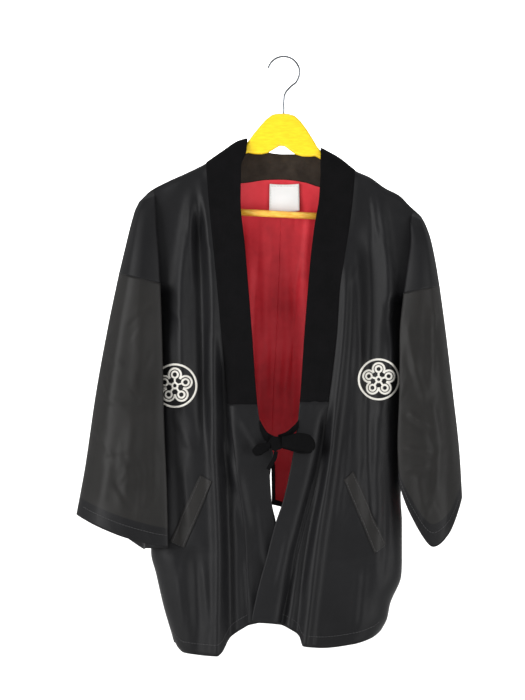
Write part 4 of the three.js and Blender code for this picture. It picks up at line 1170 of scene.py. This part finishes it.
def make_welt(side):
    outer_top, outer_foot, inner_top, inner_foot = (np.array(corner) for corner in WELTS[side.name])
    across, down = spread(14), spread(60)
    points = np.zeros((len(down), len(across), 3))
    for j, v in enumerate(down):
        for i, u in enumerate(across):
            x, z = lerp(lerp(inner_top, inner_foot, v), lerp(outer_top, outer_foot, v), u)
            points[j, i] = on_cloth("front_" + side.name, x, z, WELT_LIFT)
    name = "welt_" + side.name
    mesh = cloth_grid(points, flip=side.sign > 0)
    # the welt takes the taffeta painted lighter for the light on it
    piece = make_piece(name, mesh, [painted_light_taffeta], [name])
    thicken(piece, 1.2)
    edge = piece.modifiers.new("folded edge", "BEVEL")
    edge.width, edge.segments = 0.4 * MM, 2
    return piece


for side in (LEFT, RIGHT):
    make_welt(side)

# %% [markdown]
# ## Badges
# Each breast carries a round badge in satin stitch: a plum blossom, a common flower, in a ring. Satin stitch lays
# threads side by side across a line, so it stands a little proud and is highest in the middle. Each line is a
# narrow strip of that shape, laid on the cloth. A picture could be painted on, but it would stay flat in the light.

# %% Badges
BADGES = {"left": (-174, -527, 34), "right": (152, -517, 32)}
BADGE_LIMIT = {"left": -199, "right": 187}
SATIN_WIDE, SATIN_HIGH = 3.2, 1.0
PETALS = 5


def thread(name, code):
    finish, tree, shader = new_material(name)
    place = add_node(tree, "ShaderNodeTexCoord").outputs["Object"]
    strands = add_node(tree, "ShaderNodeTexNoise", {"Vector": place, "Scale": 900, "Detail": 2})
    relief = add_node(tree, "ShaderNodeBump", {
        "Height": strands.outputs["Fac"], "Strength": 0.4, "Distance": 0.2 * MM,
    })
    set_inputs(
        tree, shader, Base_Color=linear(code), Roughness=0.5, Sheen_Weight=0.2, Normal=relief.outputs["Normal"],
    )
    return finish


white_thread = thread("off-white satin thread", "#d9d6ce")
black_thread = thread("charcoal sewing thread", "#2c2c2e")


def arc_line(middle, radius, start, end, steps=22):
    turns = np.radians(spread(steps, start, end))
    return np.stack([middle[0] + radius * np.cos(turns), middle[1] + radius * np.sin(turns)], -1)


def blossom_lines(radius):
    lines = [arc_line((0, 0), radius, 0, 360, 80), arc_line((0, 0), 0.13 * radius, 0, 360)]
    for lean in 90 + 360 / PETALS * np.arange(PETALS):
        away = np.array([math.cos(math.radians(lean)), math.sin(math.radians(lean))])
        lines.append(arc_line(0.52 * radius * away, 0.29 * radius, lean - 130, lean + 130))
        lines.append(arc_line(0.52 * radius * away, 0.15 * radius, lean - 180, lean + 180))
        lines.append(np.array([0.15 * radius * away, 0.34 * radius * away]))
    return lines


def satin_strip(side, line):
    along = np.gradient(line, axis=0)
    beside = np.stack([-along[:, 1], along[:, 0]], -1) / np.linalg.norm(along, axis=1, keepdims=True)
    points = np.zeros((len(line), 5, 3))
    for i in range(len(line)):
        for j, across in enumerate(spread(4, -0.5, 0.5)):
            x, z = line[i] + beside[i] * across * SATIN_WIDE
            spot = on_cloth("front_" + side.name, x, z, 0.5 + SATIN_HIGH * math.cos(math.pi * across))
            points[i, j] = spot if spot else (2 * side.sign * 1000, 0, 0)
    limit = abs(BADGE_LIMIT[side.name])

    def keep(row, column):
        return abs(points[int(row):int(row) + 2, :, 0]).max() < limit

    return cloth_grid(points, flip=True, keep=keep)


def gather(meshes):
    whole = bmesh.new()
    for mesh in meshes:
        data = bpy.data.meshes.new("part")
        mesh.to_mesh(data)
        mesh.free()
        whole.from_mesh(data)
        bpy.data.meshes.remove(data)
    return whole


def make_badge(side):
    x, z, radius = BADGES[side.name]
    strips = [satin_strip(side, line + np.array([x, z])) for line in blossom_lines(radius)]
    return make_piece("badge_" + side.name, gather(strips), [white_thread], [])


for side in (LEFT, RIGHT):
    make_badge(side)

# %% [markdown]
# ## Stitching
# Hems, cuffs, welts and label are sewn down with rows of small running stitches. Each stitch is a short piece of
# thread that lies on the cloth, with a gap where the thread dips under. A real stitch is about 2.5 mm long and
# 0.2 mm thick, so these are drawn a little coarser to show at all.

# %% Stitching
STITCH_PITCH, STITCH_LENGTH, STITCH_RADIUS = 5.0, 3.4, 0.35
HEM_UP = 18
CUFF_SHARE = 0.955


def sew(mesh, line):
    line = [Vector(spot) for spot in line if spot is not None]
    runs = np.concatenate([[0], np.cumsum([(b - a).length for a, b in zip(line[:-1], line[1:])])])
    spots = np.array(line)

    def along(run):
        return Vector([np.interp(run, runs, spots[:, axis]) for axis in range(3)])

    for run in np.arange(0, runs[-1] - STITCH_LENGTH, STITCH_PITCH):
        start, end = along(run) * MM, along(run + STITCH_LENGTH) * MM
        way = end - start
        if way.length > 1.5 * STITCH_LENGTH * MM or way.length < 0.5 * STITCH_LENGTH * MM:
            continue
        place = Matrix.Translation((start + end) / 2) @ way.to_track_quat("Z", "Y").to_matrix().to_4x4()
        bmesh.ops.create_cone(
            mesh, cap_ends=True, segments=6, radius1=STITCH_RADIUS * MM, radius2=STITCH_RADIUS * MM,
            depth=way.length, matrix=place,
        )


def hem_lines(side):
    front_start, back_start = side.lines["seam"](-900), back_edge(side, -900)
    end = side.lines["side"](-900) - side.sign * 14
    front = [on_cloth("front_" + side.name, x, side.hem(x) + HEM_UP, 0.6) for x in spread(40, front_start, end)]
    back = [on_cloth("back_" + side.name, x, back_hem(x) + HEM_UP, 0.6, way=-1) for x in spread(40, back_start, end)]
    return [front, back]


def cuff_lines(side):
    front = sleeve_point(side, spread(40, 0.5, 3.9), np.full(41, CUFF_SHARE))
    back = sleeve_point(side, spread(40, 6.3, 7.7), np.full(41, CUFF_SHARE))
    name = "sleeve_" + side.name
    return [
        [on_cloth(name, x, z, 0.6) for x, _, z in front], [on_cloth(name, x, z, 0.6, way=-1) for x, _, z in back],
    ]


def welt_lines(side):
    outer_top, outer_foot, inner_top, inner_foot = (np.array(corner) for corner in WELTS[side.name])
    corners = [lerp(outer_top, inner_top, 0.12), lerp(outer_foot, inner_foot, 0.12),
               lerp(outer_foot, inner_foot, 0.88), lerp(outer_top, inner_top, 0.88)]
    rows = []
    for a, b in zip(corners[:-1], corners[1:]):
        rows.append([on_cloth("front_" + side.name, *lerp(a, b, t), WELT_LIFT + 0.7) for t in spread(30, 0.02, 0.98)])
    return rows


def label_lines():
    left, right, top, bottom = LABEL["left"] + 2, LABEL["right"] - 2, LABEL["top"] - 4, LABEL["bottom"] + 2.5
    corners = [np.array(c) for c in ((left, bottom), (left, top), (right, top), (right, bottom))]
    return [
        [on_cloth("label", *lerp(a, b, t), 0.4) for t in spread(12)] for a, b in zip(corners[:-1], corners[1:])
    ]


def make_stitches(name, lines, finish):
    mesh = bmesh.new()
    for line in lines:
        sew(mesh, line)
    return make_piece(name, mesh, [finish], [])


for side in (LEFT, RIGHT):
    make_stitches("hem_stitches_" + side.name, hem_lines(side), black_thread)
    make_stitches("cuff_stitches_" + side.name, cuff_lines(side), black_thread)
    make_stitches("welt_stitches_" + side.name, welt_lines(side), black_thread)
make_stitches("label_stitches", label_lines(), white_thread)
print("stitch faces:", sum(len(p.data.polygons) for name, p in pieces.items() if "stitches" in name))

# %% [markdown]
# ## The bow
# The ties are narrow velvet tubes, sewn to the edges of the fronts and tied in a small bow: two loops, a knot and
# one free end. Each is a flattened ring swept along its way, pinched where the knot grips it and a little
# crumpled, because a flat ribbon with one thickness would look like tape.

# %% Bow
RIBBONS = {
    "tie_strap_left": (17, [(-38, -46.7, -590), (-33, -48.2, -600), (-25, -51.2, -611), (-15, -52.5, -616)]),
    "tie_strap_right": (13, [(24, -47.5, -588), (14, -48.6, -599), (2, -51, -608), (-9, -52.5, -612)]),
    "tie_loop_left": (
        17, [(-22, -64.5, -622), (-36, -67, -627), (-47, -62, -631), (-37, -57, -630), (-23, -58.5, -625)]),
    "tie_loop_right": (
        29, [(-3, -64.5, -617), (22, -68, -616), (47, -62, -621), (24, -57, -621), (-2, -58.5, -619)]),
    "tie_tail": (7, [(-12, -60, -631), (-14, -59, -641), (-20, -57, -652), (-25, -56, -661)]),
}
TAIL_ACROSS = (0.87, 0, -0.48)
RIBBON_THICK, LOOP_THICK = 3.2, 6.5
LOOP_AT_KNOT, LOOP_TIP = 0.6, 0.62
KNOT = {"place": (-12, -61, -619), "size": (25, 15, 23)}


def ribbon_line(path):
    stops = np.linspace(0, 1, len(path))
    rows = {"t": stops, **{axis: np.array([p[i] for p in path], float) for i, axis in enumerate("xyz")}}
    read = [curve(rows, "t", axis) for axis in "xyz"]
    return lambda t: np.stack([component(t) for component in read], -1)


def make_ribbon(name, width, path):
    line = ribbon_line(path)
    over = np.array(TAIL_ACROSS if name == "tie_tail" else (0, 0, 1.0))
    turn, along = np.meshgrid(spread(28, 0, 2 * math.pi), spread(48))
    tangent = line(np.clip(along + 0.01, 0, 1)) - line(np.clip(along - 0.01, 0, 1))
    tangent /= np.linalg.norm(tangent, axis=-1, keepdims=True)
    out = np.cross(tangent, over)
    in_loop = "loop" in name
    reach = 1 - np.abs(2 * along - 1)
    pinch = lerp(LOOP_AT_KNOT, 1.0, smooth(reach / 0.6)) * lerp(1.0, LOOP_TIP, smooth((reach - 0.7) / 0.3) ** 2)
    pinch = pinch if in_loop else 1.0
    crumple_wave = 0.35 * np.sin(9 * along + 2 * turn) + 0.25 * np.sin(21 * along + turn)
    half_width = width / 2 * pinch
    half_thick = (LOOP_THICK if in_loop else RIBBON_THICK) / 2 + crumple_wave
    points = (
        line(along) + over * (half_width * np.cos(turn))[..., None] + out * (half_thick * np.sin(turn))[..., None]
    )
    mesh = cloth_grid(points, loop=True)
    close_ends(mesh)
    return make_piece(name, mesh, [bow_velvet], [name])


def make_knot():
    mesh = bmesh.new()
    bmesh.ops.create_uvsphere(mesh, u_segments=48, v_segments=32, radius=1)
    size = Vector(KNOT["size"]) / 2
    for vert in mesh.verts:
        turn = math.atan2(vert.co.z, vert.co.x)
        wrap = 1 + 0.06 * math.sin(4 * vert.co.x + 3 * vert.co.z) + 0.04 * math.sin(3 * turn + 2 * vert.co.y)
        vert.co = Vector(vert.co[i] * size[i] * wrap for i in range(3))
        vert.co = (vert.co + Vector(KNOT["place"])) * MM
    return make_piece("tie_knot", mesh, [bow_velvet], ["tie_knot"])


for name, (width, path) in RIBBONS.items():
    make_ribbon(name, width, path)
make_knot()
print("bow pieces:", len(RIBBONS) + 1)

# %% [markdown]
# ## Light and backdrop
# A pale floor lies well below the jacket. The white card behind it stands farther off than the camera does, so it
# fills the picture from the front and never comes between the jacket and a camera that has walked round to its
# back. Three large soft lights do the rest, and one more lights the card.

# %% Stage
FLOOR_Z, FLOOR_HALF = -1.4, 5.5
CARD_Y, CARD_Z, CARD_HALF = 9.7, -0.45, 2.0


def make_sheet_of_paper(name, place, half, finish):
    mesh = bmesh.new()
    bmesh.ops.create_grid(mesh, x_segments=1, y_segments=1, size=half, matrix=place)
    data = bpy.data.meshes.new(name)
    mesh.to_mesh(data)
    mesh.free()
    data.materials.append(finish)
    paper = bpy.data.objects.new(name, data)
    bpy.context.collection.objects.link(paper)


def make_stage():
    finish, tree, shader = new_material("pale paper")
    set_inputs(tree, shader, Base_Color=linear("#fbfbfa"), Roughness=0.9, Specular_IOR_Level=0.2)
    make_sheet_of_paper("floor", Matrix.Translation((0, 0, FLOOR_Z)), FLOOR_HALF, finish)
    upright = Matrix.Rotation(math.radians(90), 4, "X")
    make_sheet_of_paper("card", Matrix.Translation((0, CARD_Y, CARD_Z)) @ upright, CARD_HALF, finish)


def add_light(name, place, target, size, power):
    data = bpy.data.lights.new(name, "AREA")
    data.shape, data.size, data.energy = "SQUARE", size, power
    light = bpy.data.objects.new(name, data)
    light.location = place
    aim = Vector(target) - Vector(place)
    light.rotation_euler = aim.to_track_quat("-Z", "Y").to_euler()
    bpy.context.collection.objects.link(light)


make_stage()
MIDDLE = (0, 0, -0.5)
add_light("key", (-2.3, -1.6, -0.1), MIDDLE, 1.4, 58)
add_light("fill", (2.4, -1.9, -0.8), MIDDLE, 1.6, 46)
add_light("top", (0.2, -1.0, 1.8), MIDDLE, 1.6, 8)
add_light("rim", (0, 1.6, 1.9), MIDDLE, 1.6, 14)
add_light("card", (0, CARD_Y - 2.4, 2.6), (0, CARD_Y, CARD_Z), 2.2, 420)
world = bpy.data.worlds.new("studio")
world.use_nodes = True
world.node_tree.nodes["Background"].inputs["Color"].default_value = (1, 1, 1, 1)
world.node_tree.nodes["Background"].inputs["Strength"].default_value = 0.5
bpy.context.scene.world = world
bpy.context.scene.view_settings.view_transform = "Standard"

# %% [markdown]
# ## The cloth as cut
# Every sheet says what it was cut to before it was sewn and hung, and what carries it. The sizes are those of a
# cutter's pattern, worked out from the jacket's lines with an allowance for its folds, and never read off
# the finished cloth: so the printed share, cloth made over cloth cut, is a real test of both. The panels are not
# rectangles, because the dropped shoulder widens them above the armhole, so they give an area too.

# %% Sheets
SHEETS = {
    "front_left": (0.30, 0.82, 0.165, ["hanger_board"]), "front_right": (0.30, 0.82, 0.165, ["hanger_board"]),
    "back_left": (0.34, 0.80, 0.20, ["hanger_board"]), "back_right": (0.34, 0.80, 0.21, ["hanger_board"]),
    "sleeve_left": (0.45, 0.43, 0.148, ["front_left"]), "sleeve_right": (0.40, 0.42, 0.128, ["front_right"]),
    "lining_left": (0.26, 0.76, 0.17, ["back_left"]), "lining_right": (0.27, 0.76, 0.18, ["back_right"]),
    "collar_left": (0.058, 0.43, None, ["front_left"]), "collar_right": (0.052, 0.42, None, ["front_right"]),
    "collar_back": (0.055, 0.25, 0.0095, ["back_left", "back_right"]),
    "band_left": (0.05, 0.36, None, ["front_left"]), "band_right": (0.05, 0.37, None, ["front_right"]),
    "welt_left": (0.022, 0.118, None, ["front_left"]), "welt_right": (0.021, 0.128, None, ["front_right"]),
    "label": (0.0475, 0.0435, None, ["lining_left"]),
    "tie_strap_left": (0.017, 0.036, None, ["band_left"]), "tie_strap_right": (0.013, 0.042, None, ["band_right"]),
    "tie_loop_left": (0.017, 0.053, None, ["tie_knot"]), "tie_loop_right": (0.029, 0.104, None, ["tie_knot"]),
    "tie_tail": (0.01, 0.036, None, ["tie_knot"]),
}
TUBES = ("collar", "band", "tie")
for name, (width, length, area, carriers) in SHEETS.items():
    made = area_of(pieces[name]) / (2 if name.startswith(TUBES) else 1)
    print(name, "made over cut:", round(made / (area or width * length), 2))
